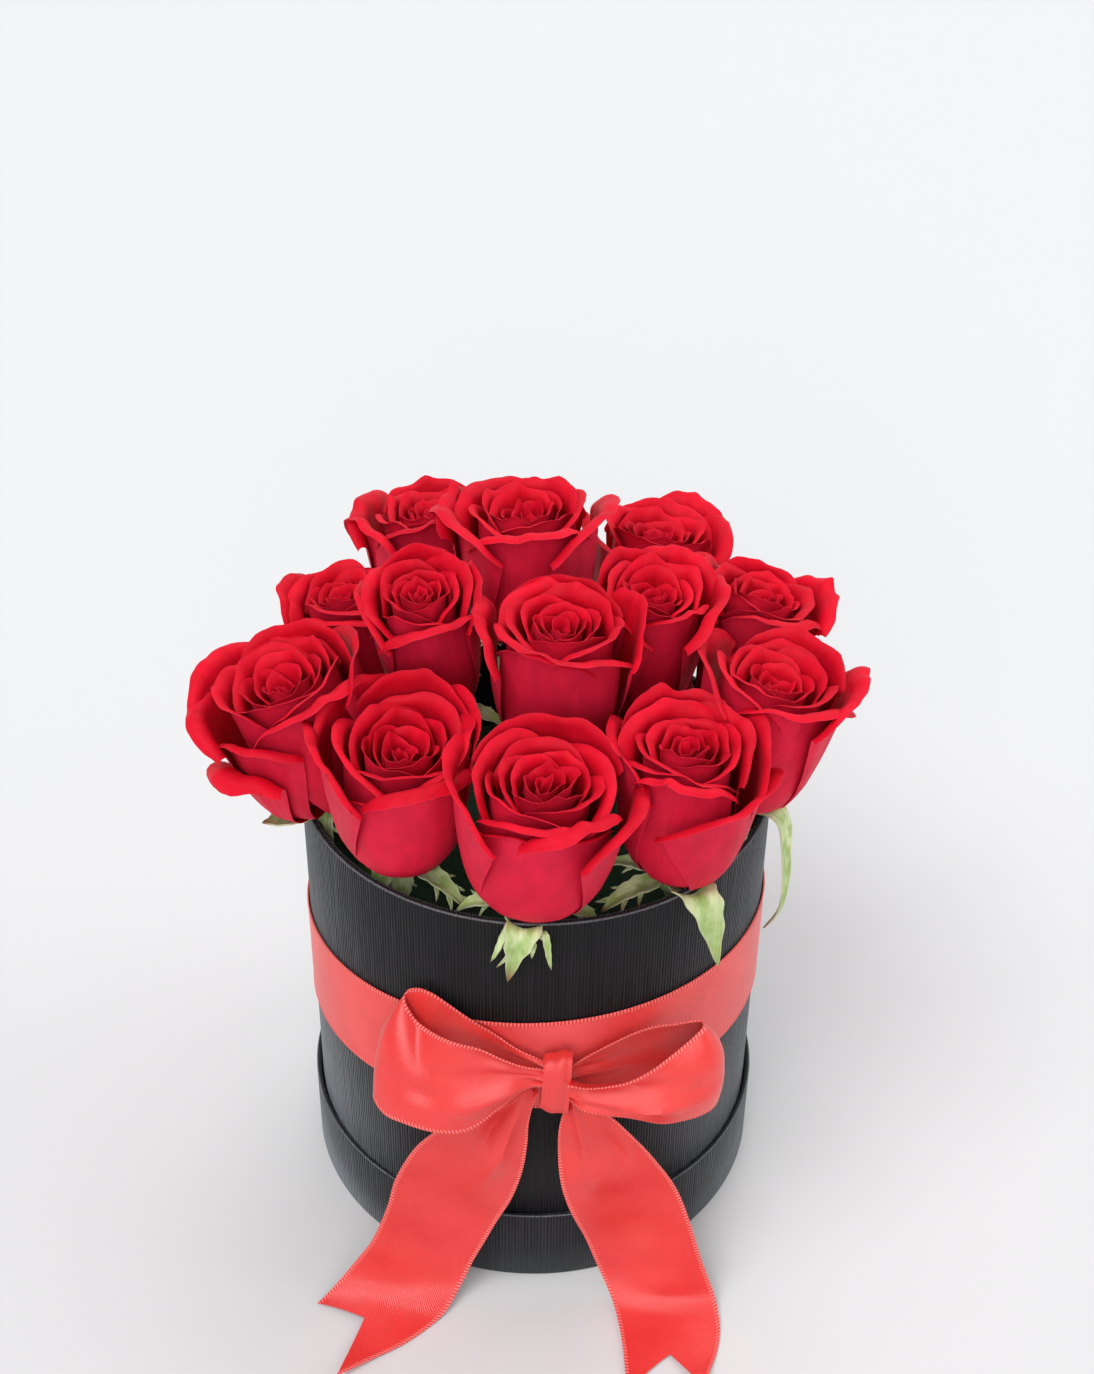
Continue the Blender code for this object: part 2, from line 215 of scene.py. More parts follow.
class Nodes:
    """Short names for building a Principled material out of nodes."""

    def __init__(self, name, roughness, specular=0.5):
        self.material = bpy.data.materials.new(name)
        self.material.use_nodes = True
        self.tree = self.material.node_tree
        self.shader = self.tree.nodes["Principled BSDF"]
        self.set(self.shader.inputs["Roughness"], roughness)
        self.set(self.shader.inputs["Specular IOR Level"], specular)

    def set(self, socket, value):
        if isinstance(value, bpy.types.NodeSocket):
            self.tree.links.new(value, socket)
        elif isinstance(value, tuple) and len(value) == 3 and socket.type == "RGBA":
            socket.default_value = (*value, 1.0)
        else:
            socket.default_value = value

    def node(self, kind, output=0, **inputs):
        made = self.tree.nodes.new(kind)
        settings = inputs.pop("settings", {})
        for label, value in settings.items():
            setattr(made, label, value)
        for label, value in inputs.items():
            self.set(made.inputs[int(label[1:]) if label[1:].isdigit() else label.replace("_", " ")], value)
        return made.outputs[output]

    def attribute(self, name):
        return self.node("ShaderNodeAttribute", 1, settings={"attribute_name": name})

    def split(self, vector):
        made = self.tree.nodes.new("ShaderNodeSeparateXYZ")
        self.set(made.inputs[0], vector)
        return made.outputs[0], made.outputs[1], made.outputs[2]

    def here(self):
        """Object coordinates, in metres."""
        return self.node("ShaderNodeTexCoord", 3)

    def noise(self, vector, stretch, detail=3.0, roughness=0.55):
        vector = self.node("ShaderNodeMapping", Vector=vector, Scale=stretch)
        return self.node("ShaderNodeTexNoise", Vector=vector, Scale=1.0, Detail=detail, Roughness=roughness)

    def maths(self, operation, *values):
        inputs = {f"i{number}": value for number, value in enumerate(values)}
        return self.node("ShaderNodeMath", settings={"operation": operation}, **inputs)

    def times(self, first, second):
        return self.maths("MULTIPLY", first, second)

    def plus(self, first, second):
        return self.maths("ADD", first, second)

    def sine(self, value):
        return self.maths("SINE", value)

    def ramp(self, value, low, high, start=0.0, end=1.0):
        return self.node("ShaderNodeMapRange", Value=value, From_Min=low, From_Max=high, To_Min=start,
                         To_Max=end, settings={"interpolation_type": "SMOOTHSTEP"})

    def blend(self, share, first, second):
        return self.node("ShaderNodeMix", 2, i0=share, i6=first, i7=second, settings={"data_type": "RGBA"})

    def tint(self, colour, amount):
        """colour times amount, which is near 1."""
        grey = self.node("ShaderNodeCombineXYZ", X=amount, Y=amount, Z=amount)
        return self.node("ShaderNodeVectorMath", i0=colour, i1=grey, settings={"operation": "MULTIPLY"})

    def shade(self, colour, value, low, high, darkest, lightest):
        """colour times an amount that follows value."""
        return self.tint(colour, self.ramp(value, low, high, darkest, lightest))

    def colour(self, value):
        self.set(self.shader.inputs["Base Color"], value)

    def rough(self, value):
        self.set(self.shader.inputs["Roughness"], value)

    def bump(self, height, depth_mm, strength=1.0):
        made = self.node("ShaderNodeBump", Height=height, Strength=strength, Distance=depth_mm * MM)
        self.set(self.shader.inputs["Normal"], made)

    def fixed(self, group, **values):
        """Set a group of the shader's inputs, such as its Sheen inputs."""
        for label, value in values.items():
            self.set(self.shader.inputs[group + " " + label], value)

    def sheen(self, weight, roughness, tint):
        self.fixed("Sheen", Weight=weight, Roughness=roughness, Tint=tint)


def petal_material():
    """Velvety red on the inner face, duller crimson on the back, fine veins, painted shade low in each petal,
    and a paler edge that is a painted highlight along the rim.
    """
    n = Nodes("rose_petal", 0.55, 0.11)
    skin = n.attribute("skin")
    side = n.split(skin)[2]
    tip, layer, chance = n.split(n.attribute("tone"))
    veins = n.noise(skin, (0.9, 0.09, 3.0), 4.0, 0.6)
    cloud = n.noise(skin, (0.10, 0.08, 5.0), 2.0)
    # painted shade: the inner face darkens from its tip down into the cup, and the back a little towards its
    # base
    inner = n.blend(n.ramp(tip, 0.35, 1.0), PETAL_SHADED_DEEP, PETAL_BRIGHT)
    inner = n.blend(n.ramp(layer, 0.0, 0.5, 0.55, 0.0), inner, PETAL_CORE)
    back = n.blend(n.ramp(tip, 0.15, 0.95), PETAL_BACK, PETAL_BACK_TIP)
    base = n.blend(side, inner, back)
    vein_light = n.ramp(veins, 0.30, 0.70, 0.95, 1.05)
    cloud_light = n.ramp(cloud, 0.3, 0.7, 0.90, 1.07)
    own_light = n.ramp(chance, 0.0, 1.0, 0.92, 1.06)
    light = n.times(n.times(vein_light, cloud_light), own_light)
    base = n.tint(base, light)
    # painted highlight: a thin paler line along the rim of each petal
    edge = n.ramp(tip, 0.985, 1.0, 0.0, 0.35)
    base = n.blend(edge, base, PETAL_RIM_HIGHLIGHT)
    spots = n.noise(skin, (0.16, 0.16, 0.0), 3.0, 0.7)
    nick = n.times(n.ramp(spots, 0.64, 0.72), n.ramp(tip, 0.90, 1.0, 0.0, 0.8))
    base = n.blend(nick, base, PETAL_NICK)
    n.colour(base)
    n.rough(n.ramp(veins, 0.2, 0.8, 0.48, 0.66))
    n.bump(n.plus(veins, n.times(cloud, 0.6)), 0.18, 0.5)
    n.sheen(0.03, 0.40, (1.0, 0.22, 0.32))
    n.fixed("Subsurface", Weight=0.12, Radius=(1.0, 0.15, 0.1), Scale=0.0015)
    return n.material


def leaf_material(name, pale, deep, brown):
    """Green tissue with veins along it. tone.x is 1 at a tip, tone.y is 1 at an edge."""
    n = Nodes(name, 0.5, 0.4)
    skin = n.attribute("skin")
    tip, edge, chance = n.split(n.attribute("tone"))
    veins = n.noise(skin, (1.6, 0.10, 1.0), 3.0)
    cloud = n.noise(skin, (0.22, 0.16, 1.0), 2.0)
    base = n.blend(n.ramp(cloud, 0.35, 0.65), pale, deep)
    base = n.blend(n.ramp(tip, 0.45, 0.95, 0.0, 0.75), base, deep)
    base = n.blend(n.ramp(edge, 0.80, 1.0, 0.0, 0.6), base, LEAF_EDGE)
    base = n.shade(base, veins, 0.3, 0.7, 0.86, 1.10)
    base = n.blend(n.times(n.ramp(tip, 0.86, 1.0), n.ramp(chance, 0.3, 0.5)), base, brown)
    n.colour(base)
    n.rough(n.ramp(veins, 0.2, 0.8, 0.42, 0.6))
    n.bump(veins, 0.2, 0.6)
    n.sheen(0.15, 0.5, (0.9, 1.0, 0.8))
    return n.material


def satin_material():
    """Coral satin: fine diagonal weave, soft broad shine, and a stitched selvage along both edges.
    skin is (across, along, side) in millimetres. tone.x is the share of the half width, and tone.y is
    1 where the weave is worn matt."""
    n = Nodes("coral_satin", 0.36, 0.6)
    skin = n.attribute("skin")
    across, along, side = n.split(skin)
    reach, matt, _ = n.split(n.attribute("tone"))
    diagonal = n.plus(n.times(along, 7.5), n.times(across, 5.5))
    twill = n.sine(diagonal)
    threads = n.noise(skin, (3.2, 0.35, 1.0), 3.0)
    weave = n.noise(skin, (2.4, 2.4, 1.0), 4.0, 0.7)
    cloud = n.noise(skin, (0.05, 0.05, 1.0), 2.0)
    base = n.blend(n.ramp(cloud, 0.3, 0.7), SATIN_DEEP, SATIN_LIGHT)
    base = n.blend(n.times(side, 0.5), base, SATIN_BACK)
    base = n.blend(n.times(matt, 0.55), base, SATIN_WORN)
    base = n.shade(base, threads, 0.25, 0.75, 0.92, 1.07)
    base = n.shade(base, weave, 0.30, 0.75, 0.90, 1.10)
    base = n.shade(base, twill, -1.0, 1.0, 0.94, 1.04)
    selvage = n.ramp(reach, 0.915, 0.935)
    stitch = n.sine(n.times(along, 5.2))
    thread = n.blend(n.ramp(stitch, -0.5, 0.5), STITCH_DARK, STITCH_PALE)
    n.colour(n.blend(selvage, base, thread))
    rough = n.plus(n.ramp(threads, 0.2, 0.8, 0.27, 0.38), n.times(selvage, 0.25))
    n.rough(n.plus(rough, n.times(matt, 0.35)))
    ridge = n.times(n.times(stitch, selvage), 1.6)
    fine = n.plus(n.times(twill, 0.35), n.times(weave, 0.6))
    n.bump(n.plus(n.plus(fine, ridge), n.times(threads, 0.6)), 0.12, 0.55)
    n.sheen(0.06, 0.30, (1.0, 0.45, 0.40))
    return n.material


def paper_material(name, dark, light):
    """Black paper with fine upright ribs, and a pale line along cut edges (tone.x is 1): mostly a painted
    highlight, partly rubbed paper.
    """
    n = Nodes(name, 0.5, 0.16)
    where = n.here()
    x, y, _ = n.split(where)
    drift = n.noise(where, (500, 500, 10), 2.0)
    around = n.times(n.maths("ARCTAN2", y, x), RIBS_AROUND)
    wave = n.sine(n.plus(around, n.times(drift, 4.5)))
    grain = n.noise(where, (1600, 1600, 25), 3.0, 0.7)
    ribs = n.plus(n.times(wave, 0.22), grain)
    broad = n.noise(where, (100, 100, 6), 2.0)
    dust = n.noise(where, (1400, 1400, 1400), 4.0, 0.7)
    base = n.blend(n.ramp(ribs, 0.25, 0.80), dark, light)
    base = n.shade(base, broad, 0.3, 0.7, 0.90, 1.12)
    base = n.shade(base, dust, 0.35, 0.75, 0.95, 1.12)
    # pale line on the top edge: mostly a painted highlight, partly rubbed paper, broken up by dust
    worn = n.split(n.attribute("tone"))[0]
    base = n.blend(n.times(worn, n.ramp(dust, 0.3, 0.7, 0.25, 0.8)), base, PAPER_RUB_AND_HIGHLIGHT)
    n.colour(base)
    n.rough(n.ramp(ribs, 0.3, 0.7, 0.34, 0.56))
    n.bump(ribs, 0.38, 0.9)
    n.sheen(0.26, 0.30, (0.85, 0.92, 1.0))
    return n.material


def board_material():
    """Uncoated black board inside the box and lid: fibrous and matt."""
    n = Nodes("inside_board", 0.8, 0.25)
    where = n.here()
    fibre = n.noise(where, (900, 900, 900), 4.0, 0.7)
    patch = n.noise(where, (60, 60, 60), 2.0)
    base = n.blend(n.ramp(fibre, 0.35, 0.7), BOARD_DARK, BOARD_LIGHT)
    n.colour(n.shade(base, patch, 0.3, 0.7, 0.85, 1.15))
    n.rough(n.ramp(fibre, 0.3, 0.7, 0.72, 0.9))
    n.bump(fibre, 0.15, 0.7)
    return n.material


def film_material():
    """Glossy black liner film with faint creases and dust."""
    n = Nodes("liner_film", 0.2, 0.5)
    where = n.here()
    crease = n.noise(where, (100, 100, 50), 4.0, 0.6)
    dust = n.noise(where, (1200, 1200, 1200), 4.0, 0.75)
    n.colour(n.blend(n.ramp(dust, 0.55, 0.85), FILM_DARK, FILM_DUST))
    n.rough(n.plus(n.ramp(crease, 0.3, 0.7, 0.12, 0.26), n.ramp(dust, 0.5, 0.9, 0.0, 0.2)))
    n.bump(crease, 0.5, 0.6)
    return n.material


def foam_material():
    """Wet green foam, kept darker than it is as painted shade deep in the box: small open pores and darker
    patches where it holds more water.
    """
    n = Nodes("wet_foam", 0.85, 0.3)
    where = n.here()
    pores = n.node("ShaderNodeTexVoronoi", 0, Vector=where, Scale=1300.0)
    patch = n.noise(where, (45, 45, 45), 3.0)
    crumb = n.noise(where, (600, 600, 600), 4.0)
    # painted shade: the whole foam is kept darker than wet foam is
    base = n.blend(n.ramp(patch, 0.3, 0.7), FOAM_DARK, FOAM_LIGHT)
    base = n.shade(base, pores, 0.1, 0.6, 0.65, 1.15)
    n.colour(n.shade(base, crumb, 0.3, 0.7, 0.85, 1.12))
    n.rough(n.ramp(patch, 0.3, 0.7, 0.6, 0.95))
    n.bump(n.plus(pores, crumb), 0.5, 0.9)
    return n.material


# ---- roses

class RoseFrame:
    """Where one rose stands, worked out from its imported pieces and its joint's axis."""

    def __init__(self, name):
        self.name = name
        self.axis = Vector(joints["pull_" + name]["axis"]).normalized()
        low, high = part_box("stem_" + name)
        middle = (low + high) / 2
        along, away = self.measure("bloom_" + name, middle)
        self.foot = middle + self.axis * along.min()
        self.height = (along.max() - along.min()) / MM
        self.radius = away.max() / MM
        along, away = self.measure("stem_" + name, middle)
        self.stem_low = (along.min() - (self.foot - middle).length) / MM
        self.stem_high = (along.max() - (self.foot - middle).length) / MM
        self.stem_radius = away.max() / MM
        side = (Vector((1, 0, 0)) - self.axis * self.axis.x).normalized()
        ahead = self.axis.cross(side)
        self.matrix = Matrix((side, ahead, self.axis)).transposed().to_4x4()
        self.matrix.translation = self.foot

    def measure(self, node, origin):
        """Distances along and away from the stem's axis of a node's points, in metres."""
        points = np.array([point.co for point in frame["nodes"][node].data.vertices]) - np.array(origin)
        along = points @ np.array(self.axis)
        away = np.linalg.norm(points - along[:, None] * np.array(self.axis), axis=1)
        return along, away


# Radius share of a petal wall at each height share: a full goblet outside, upright inside.
WALL_HEIGHTS = (0.0, 0.03, 0.10, 0.24, 0.45, 0.70, 0.90, 1.0)
OUTER_WALL = (0.15, 0.40, 0.655, 0.85, 0.95, 0.985, 0.99, 1.0)
INNER_WALL = (0.14, 0.44, 0.70, 0.88, 0.95, 0.96, 0.98, 1.01)

# How each rose differs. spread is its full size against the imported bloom, and depth is how far its
# middle is sunk. Each guard is a large outer petal: (direction in degrees, flare away from the bloom,
# half width in degrees, length share, length of its rolled lip in millimetres, roll in degrees).
ROSES = {
    "front": dict(spread=1.11, depth=0.06, turn=20, guards=(
        (88, 0.02, 66, 1.04, 3.0, 40), (-62, -0.09, 46, 1.00, 7.0, 128), (-86, -0.05, 62, 0.93, 2.5, 80),
        (-168, 0.16, 50, 1.03, 4.0, 75), (-22, 0.13, 46, 0.96, 5.0, 100))),
    "front_left": dict(spread=1.20, depth=0.20, turn=75, guards=(
        (75, 0.0, 60, 1.06, 2.5, 30), (20, 0.06, 50, 1.02, 3.0, 60), (-64, -0.09, 50, 0.95, 8.5, 132),
        (-74, -0.04, 60, 0.89, 2.5, 80), (-155, 0.15, 46, 1.02, 4.0, 85), (140, 0.06, 46, 1.04, 3.5, 75))),
    "front_right": dict(spread=1.22, depth=0.08, turn=130, guards=(
        (95, 0.02, 58, 1.04, 3.0, 45), (-170, 0.05, 52, 0.98, 4.0, 80), (-95, -0.10, 48, 0.97, 6.0, 120),
        (-48, 0.16, 62, 0.80, 6.0, 84), (10, 0.12, 46, 1.0, 4.0, 70))),
    "left": dict(spread=1.17, depth=0.11, turn=200, guards=(
        (80, 0.0, 58, 1.02, 3.0, 40), (-55, -0.06, 58, 0.93, 6.5, 126), (-120, 0.02, 44, 0.80, 5.0, 110),
        (-135, 0.04, 36, 0.58, 11.0, 165), (-175, 0.08, 40, 0.90, 6.5, 130),
        (150, 0.12, 40, 1.00, 6.0, 125), (15, 0.05, 50, 1.02, 3.5, 75))),
    "right": dict(spread=1.03, depth=0.17, turn=310, guards=(
        (60, 0.04, 58, 1.03, 3.0, 50), (-75, -0.03, 60, 0.96, 6.5, 110), (172, 0.20, 58, 1.00, 4.5, 80),
        (-20, 0.12, 50, 1.02, 6.0, 95))),
    "left_rear": dict(spread=1.04, depth=0.14, turn=260, guards=(
        (90, 0.0, 58, 0.92, 2.5, 35), (-100, -0.02, 62, 0.94, 5.0, 110), (170, 0.12, 46, 0.98, 4.5, 85),
        (-10, 0.05, 50, 0.96, 3.5, 75))),
    "right_rear": dict(spread=1.05, depth=0.10, turn=15, guards=(
        (90, 0.0, 58, 1.00, 2.5, 35), (-75, -0.02, 62, 0.96, 6.5, 112), (15, 0.12, 46, 1.02, 5.0, 85),
        (175, 0.06, 48, 1.0, 4.5, 85))),
    "rear_left": dict(spread=1.10, depth=0.08, turn=95, guards=(
        (90, 0.02, 58, 1.02, 2.5, 45), (-90, -0.02, 54, 0.96, 7.0, 118), (165, 0.15, 46, 0.96, 6.5, 100),
        (-20, 0.05, 50, 1.0, 4.0, 75), (-145, 0.12, 36, 0.96, 6.5, 112))),
    "rear_right": dict(spread=0.96, depth=0.10, turn=170, guards=(
        (90, 0.02, 58, 1.00, 2.5, 45), (-75, -0.02, 56, 0.96, 7.0, 118), (15, 0.04, 44, 1.00, 5.0, 90),
        (-165, 0.15, 56, 0.97, 6.5, 100), (55, 0.08, 38, 1.04, 5.0, 80))),
    "top_rear": dict(spread=1.06, depth=0.12, turn=230, guards=(
        (85, 0.0, 58, 0.94, 2.5, 35), (-85, -0.05, 56, 0.95, 7.5, 122), (-150, 0.10, 46, 0.96, 8.0, 112),
        (168, 0.12, 40, 0.98, 5.0, 95), (-18, 0.09, 54, 0.95, 8.0, 104))),
    "inner_left": dict(spread=1.08, depth=0.07, turn=280, guards=(
        (95, 0.0, 60, 1.03, 2.5, 30), (-70, -0.05, 60, 0.94, 6.0, 115), (-165, 0.05, 50, 0.98, 4.0, 90),
        (5, 0.05, 48, 1.0, 4.0, 70))),
    "centre": dict(spread=1.16, depth=0.08, turn=340, guards=(
        (92, 0.0, 64, 1.01, 2.5, 30), (-95, -0.03, 66, 0.97, 5.0, 92), (6, 0.15, 46, 1.03, 3.5, 50),
        (-176, 0.13, 40, 0.97, 5.0, 95))),
    "inner_right": dict(spread=1.20, depth=0.12, turn=50, guards=(
        (60, 0.10, 48, 1.02, 4.0, 90), (-12, 0.19, 56, 1.0, 5.0, 90), (-150, 0.04, 58, 0.96, 3.5, 85),
        (120, 0.02, 52, 1.02, 3.0, 50))),
}
PETALS = 16
PETAL_THICK = 0.28
LIP_REACH = 3.0             # how far the outer lips stand out past the bloom's wall
LIP_STEPS = 8
GUARD_LIP = 1.3             # the lips of guards are longer than their table says by this factor
CAMERA_SIDE = -80           # degrees: guards that point this way widen low down


def dense_at_edges(count):
    """Places from -1 to 1 that stand closer together at both ends."""
    return np.sin(np.linspace(-1, 1, count) * math.pi / 2)


def ripple(rng, across, waves, size):
    """A random wave along a petal's width, a little angular as petals are."""
    total = 0.0
    for number in range(1, waves + 1):
        curve = np.sin(across * number * 2.3 + rng.uniform(0, 2 * math.pi))
        angular = np.arcsin(curve * 0.985) / 1.40
        total = total + mix(curve, angular, 0.6) * rng.uniform(0.3, 1.0) / number
    return total * size


def petal_outline(rng, across, round_off, ragged):
    """Share of full length at each place across the petal: rounded corners and a slight point."""
    point = 0.028 * rng.uniform(0.0, 1.6) * np.exp(-((across - rng.uniform(-0.25, 0.25)) / 0.13) ** 2)
    torn = ripple(rng, across * 9.0, 3, ragged * 0.35)
    return 1 - round_off * np.abs(across) ** 3.2 + point + ripple(rng, across * 2.2, 4, ragged) + torn


def add_petal(sheets, rng, rose, radius, height, across, share, centre, half, layer):
    """Turn columns of (radius, height) around the stem axis into one closed petal."""
    angle = centre + across * half
    creases = ripple(rng, across * 3.0, 3, 0.22) * (share * (1.25 - share))[:, None] * 3
    frill = ripple(rng, across * 6.0, 3, 0.13) * share[:, None] ** 7
    inner = 1 - layer
    uneven = 0.025 * np.cos(2 * (angle - rose.oval))
    uneven = uneven + (0.015 + 0.045 * inner) * np.cos(3 * (angle - rose.oval * 2) + 5.0 * layer)
    radius = (radius + creases + frill) * (1 + uneven)
    tilt = (0.4 + 0.7 * inner) * np.sin(angle + rose.oval * 3 + 4.0 * layer)
    height = height + tilt * share[:, None] ** 2
    points = layers(radius * np.cos(angle), radius * np.sin(angle), height)
    border = np.maximum(share[:, None], smoothstep(0.90, 1.0, np.abs(across)) * 0.98)
    tone = layers(border, layer, rng.uniform(0, 1))
    offset = rng.uniform(0, 200)
    thick = PETAL_THICK * (1 - 0.65 * border ** 5)
    arc = across * half * radius.max()
    sheets.add_sheet(points, thick, distance_along(points) + offset, arc + offset, tone)


def petal_columns(rng, rim_radius, rim_height, start, reach, outer, flare, lip_length, lip_turn, across,
                  wall_steps):
    """Radius and height of every point of a petal, and each row's share of the way up: a goblet wall,
    then a lip that rolls outwards."""
    height_share = start + (reach - start) * np.linspace(0, 1, wall_steps + 1)[:, None]
    wall = mix(curve_through(WALL_HEIGHTS, INNER_WALL, height_share),
               curve_through(WALL_HEIGHTS, OUTER_WALL, height_share), outer)
    radius = rim_radius * (wall + flare * smoothstep(0.05, 1.15, height_share) ** 1.3)
    height = rim_height * height_share
    heading = np.arctan2(radius[-1] - radius[-2], height[-1] - height[-2])
    lopsided = 1 + rng.uniform(-0.45, 0.45) * across
    length = lip_length * lopsided * (1 - 0.30 * across ** 4) / LIP_STEPS
    turn_end = lip_turn * (1 + 0.25 * np.abs(across) ** 2) * (1 + rng.uniform(-0.3, 0.3) * across)
    radii = list(radius)
    heights = list(height)
    for step in range(1, LIP_STEPS + 1):
        angle = heading + (turn_end - heading) * (step / LIP_STEPS) ** 1.35
        radii.append(radii[-1] + length * np.sin(angle))
        heights.append(heights[-1] + length * np.cos(angle))
    return np.array(radii), np.array(heights), np.linspace(0, 1, len(radii))


def add_wall_petal(sheets, rng, look, rose, index):
    """One of the petals that make up the bloom. index 0 is the middle one."""
    layer = index / (PETALS - 1)
    outer = float(smoothstep(0.35, 0.95, layer))
    full = rose.radius * look["spread"] - LIP_REACH
    rim_radius = full * (0.06 + 0.76 * layer ** 1.05) * rng.uniform(0.975, 1.025)
    sink = look["depth"] * (1 - layer) ** 1.2
    rim_height = rose.height * (0.985 - sink - 0.035 * outer) * rng.uniform(0.98, 1.015)
    lip_length = mix(2.6, 5.6, layer) * rng.uniform(0.75, 1.3)
    lip_turn = math.radians(mix(30, 86, layer ** 2.2) * rng.uniform(0.70, 1.30))
    half = math.radians(mix(140, 66, layer ** 0.5) * rng.uniform(0.93, 1.07))
    start = 0.0 if layer > 0.7 else 0.30
    across = dense_at_edges(41)
    reach = petal_outline(rng, across, mix(0.13, 0.15, outer), 0.006)
    radius, height, share = petal_columns(rng, rim_radius, rim_height, start, reach, outer, 0.0,
                                          lip_length, lip_turn, across, 12 if start == 0.0 else 8)
    wave = ripple(rng, across * 1.5, 2, mix(0.40, 1.00, outer)) + 0.7 * across
    radius = radius + wave * share[:, None] ** 3
    height = height + ripple(rng, across * 1.8, 3, mix(0.45, 0.9, outer)) * share[:, None] ** 4
    edge = smoothstep(0.62, 1.0, np.abs(across)) * smoothstep(0.3, 1.0, share)[:, None]
    radius = radius + mix(0.3, 0.9, outer) * edge
    centre = math.radians(look["turn"] + index * GOLDEN_TURN + rng.uniform(-12, 12))
    narrow = mix(1.0, 0.45 + 0.55 * smoothstep(0.0, 0.35, share), outer) * np.ones(len(share))
    add_petal(sheets, rng, rose, radius, height, across, share, centre, half * narrow[:, None], layer)


def add_guard_petal(sheets, rng, look, rose, guard, order):
    """A large outer petal. It follows the bloom's body and rolls out at its rim."""
    direction, flare, half_width, length_share, lip_length, lip_turn = guard
    across = dense_at_edges(47)
    reach = petal_outline(rng, across, 0.15, 0.006)
    rim_radius = rose.radius * look["spread"] - LIP_REACH - 1.5 + 0.35 * order
    rim_height = rose.height * (length_share - 0.02)
    radius, height, share = petal_columns(rng, rim_radius, rim_height, 0.0, reach, 1.0, flare,
                                          lip_length * GUARD_LIP, math.radians(lip_turn), across, 18)
    radius = radius + ripple(rng, across * 1.4, 3, 0.85) * share[:, None] ** 3
    height = height + ripple(rng, across * 1.9, 3, 0.9) * share[:, None] ** 4 - 0.12 * order
    edge = smoothstep(0.42, 1.0, np.abs(across)) * smoothstep(0.15, 0.9, share)[:, None]
    radius = radius + (0.7 + 14.0 * max(0.0, flare)) * edge
    faces_camera = abs(direction - CAMERA_SIDE) < 25
    wide = smoothstep(0.0, 0.25, share) if faces_camera else smoothstep(-0.1, 0.85, share)
    half = math.radians(half_width) * (0.40 + 0.60 * wide)[:, None]
    add_petal(sheets, rng, rose, radius, height, across, share, math.radians(direction), half, 1.0)


def build_bloom(rose, look, material, seed):
    rng = np.random.default_rng(seed)
    sheets = Sheets()
    rose.oval = math.radians(look["turn"])
    for index in range(PETALS):
        add_wall_petal(sheets, rng, look, rose, index)
    for order, guard in enumerate(look["guards"]):
        add_guard_petal(sheets, rng, look, rose, guard, order)
    item = sheets.build("rose_" + rose.name + "_petals", material, rose.matrix)
    place(item, "rose_" + rose.name, "petals", "bloom_" + rose.name)


# ---- calyxes and stems

# Paths of sepals from the stem, as (distance out, height) in millimetres.
HUGGING = ((4.5, -2.6), (9.0, -1.6), (14.0, 0.2), (18.8, 2.6), (23.0, 5.8), (26.0, 10.0), (27.6, 14.0))
DROOPING = ((4.5, -2.6), (7.4, -3.4), (9.2, -6.0), (10.2, -10.0), (10.6, -15.0))
LEVEL = ((4.5, -2.6), (9.5, -2.6), (14.5, -2.2), (19.0, -3.2), (23.0, -6.5))
LONG_LEVEL = ((4.5, -2.6), (10.0, -2.4), (16.0, -1.8), (22.5, -2.6), (28.5, -5.0))
OVER_RIM_FRONT = ((4.5, -2.6), (10.0, -0.6), (14.5, 1.6), (18.4, 3.2), (20.8, 0.8), (21.6, -5.0),
                  (22.0, -17.0))
FRONT_LOBE = ((14.5, 1.2), (18.8, 2.6), (21.2, 0.0), (22.4, -5.0), (22.8, -10.0))
OVER_RIM_FRONT_RIGHT = ((4.5, -2.6), (9.5, -0.8), (14.0, 1.0), (17.5, 1.6), (20.0, -2.0),
                        (20.8, -12.0), (21.2, -26.0))
OVER_RIM_RIGHT = ((4.5, -2.6), (9.0, -1.0), (12.5, 0.4), (15.6, -2.0), (18.8, -10.0), (22.6, -22.0),
                  (24.6, -34.0), (22.0, -45.0))
CUP_LEFT = ((4.5, -2.4), (9.5, -1.4), (14.0, -0.4), (18.5, 1.4), (22.0, 3.0), (25.0, 6.0))

# Sepals that show, by rose: (direction in degrees, path, width, sideways drift of the tip, teeth).
SEPALS = {
    "front": ((-95, OVER_RIM_FRONT, 14.0, -3.5, 4), (-112, FRONT_LOBE, 2.8, -3.0, 0),
              (-77, FRONT_LOBE, 2.6, 2.6, 0), (150, LEVEL, 7.0, 0.0, 1), (60, LEVEL, 7.0, 0.0, 0),
              (-12, LEVEL, 8.0, 0.0, 3), (-172, LEVEL, 7.5, 0.0, 2)),
    "front_right": ((-74, OVER_RIM_FRONT_RIGHT, 15.5, 9.5, 0), (-146, LONG_LEVEL, 9.0, 0.0, 4),
                    (165, LEVEL, 7.0, 0.0, 1), (90, LEVEL, 7.0, 0.0, 0), (20, LEVEL, 7.0, 0.0, 0)),
    "front_left": ((-42, LONG_LEVEL, 8.5, 0.0, 5), (-128, DROOPING, 10.0, 0.0, 1),
                   (-85, DROOPING, 8.0, 0.0, 2), (60, LEVEL, 7.0, 0.0, 0), (140, LEVEL, 7.0, 0.0, 0)),
    "right": ((-30, OVER_RIM_RIGHT, 10.5, -1.0, 1), (-95, LEVEL, 8.0, 0.0, 2), (60, HUGGING, 7.0, 0.0, 0),
              (130, LEVEL, 7.0, 0.0, 0), (-150, LEVEL, 7.0, 0.0, 1)),
    "left": ((-150, CUP_LEFT, 15.0, 1.0, 0), (-60, LEVEL, 7.0, 0.0, 1), (100, HUGGING, 7.0, 0.0, 0),
             (30, LEVEL, 7.0, 0.0, 0), (-115, DROOPING, 8.0, 0.0, 1)),
}
STANDARD_SEPALS = 5
LINER_CLEAR = 75.0          # sepals below the rim stay inside this radius
BLADE_STEPS = 36
BLADE_THICK = 0.55


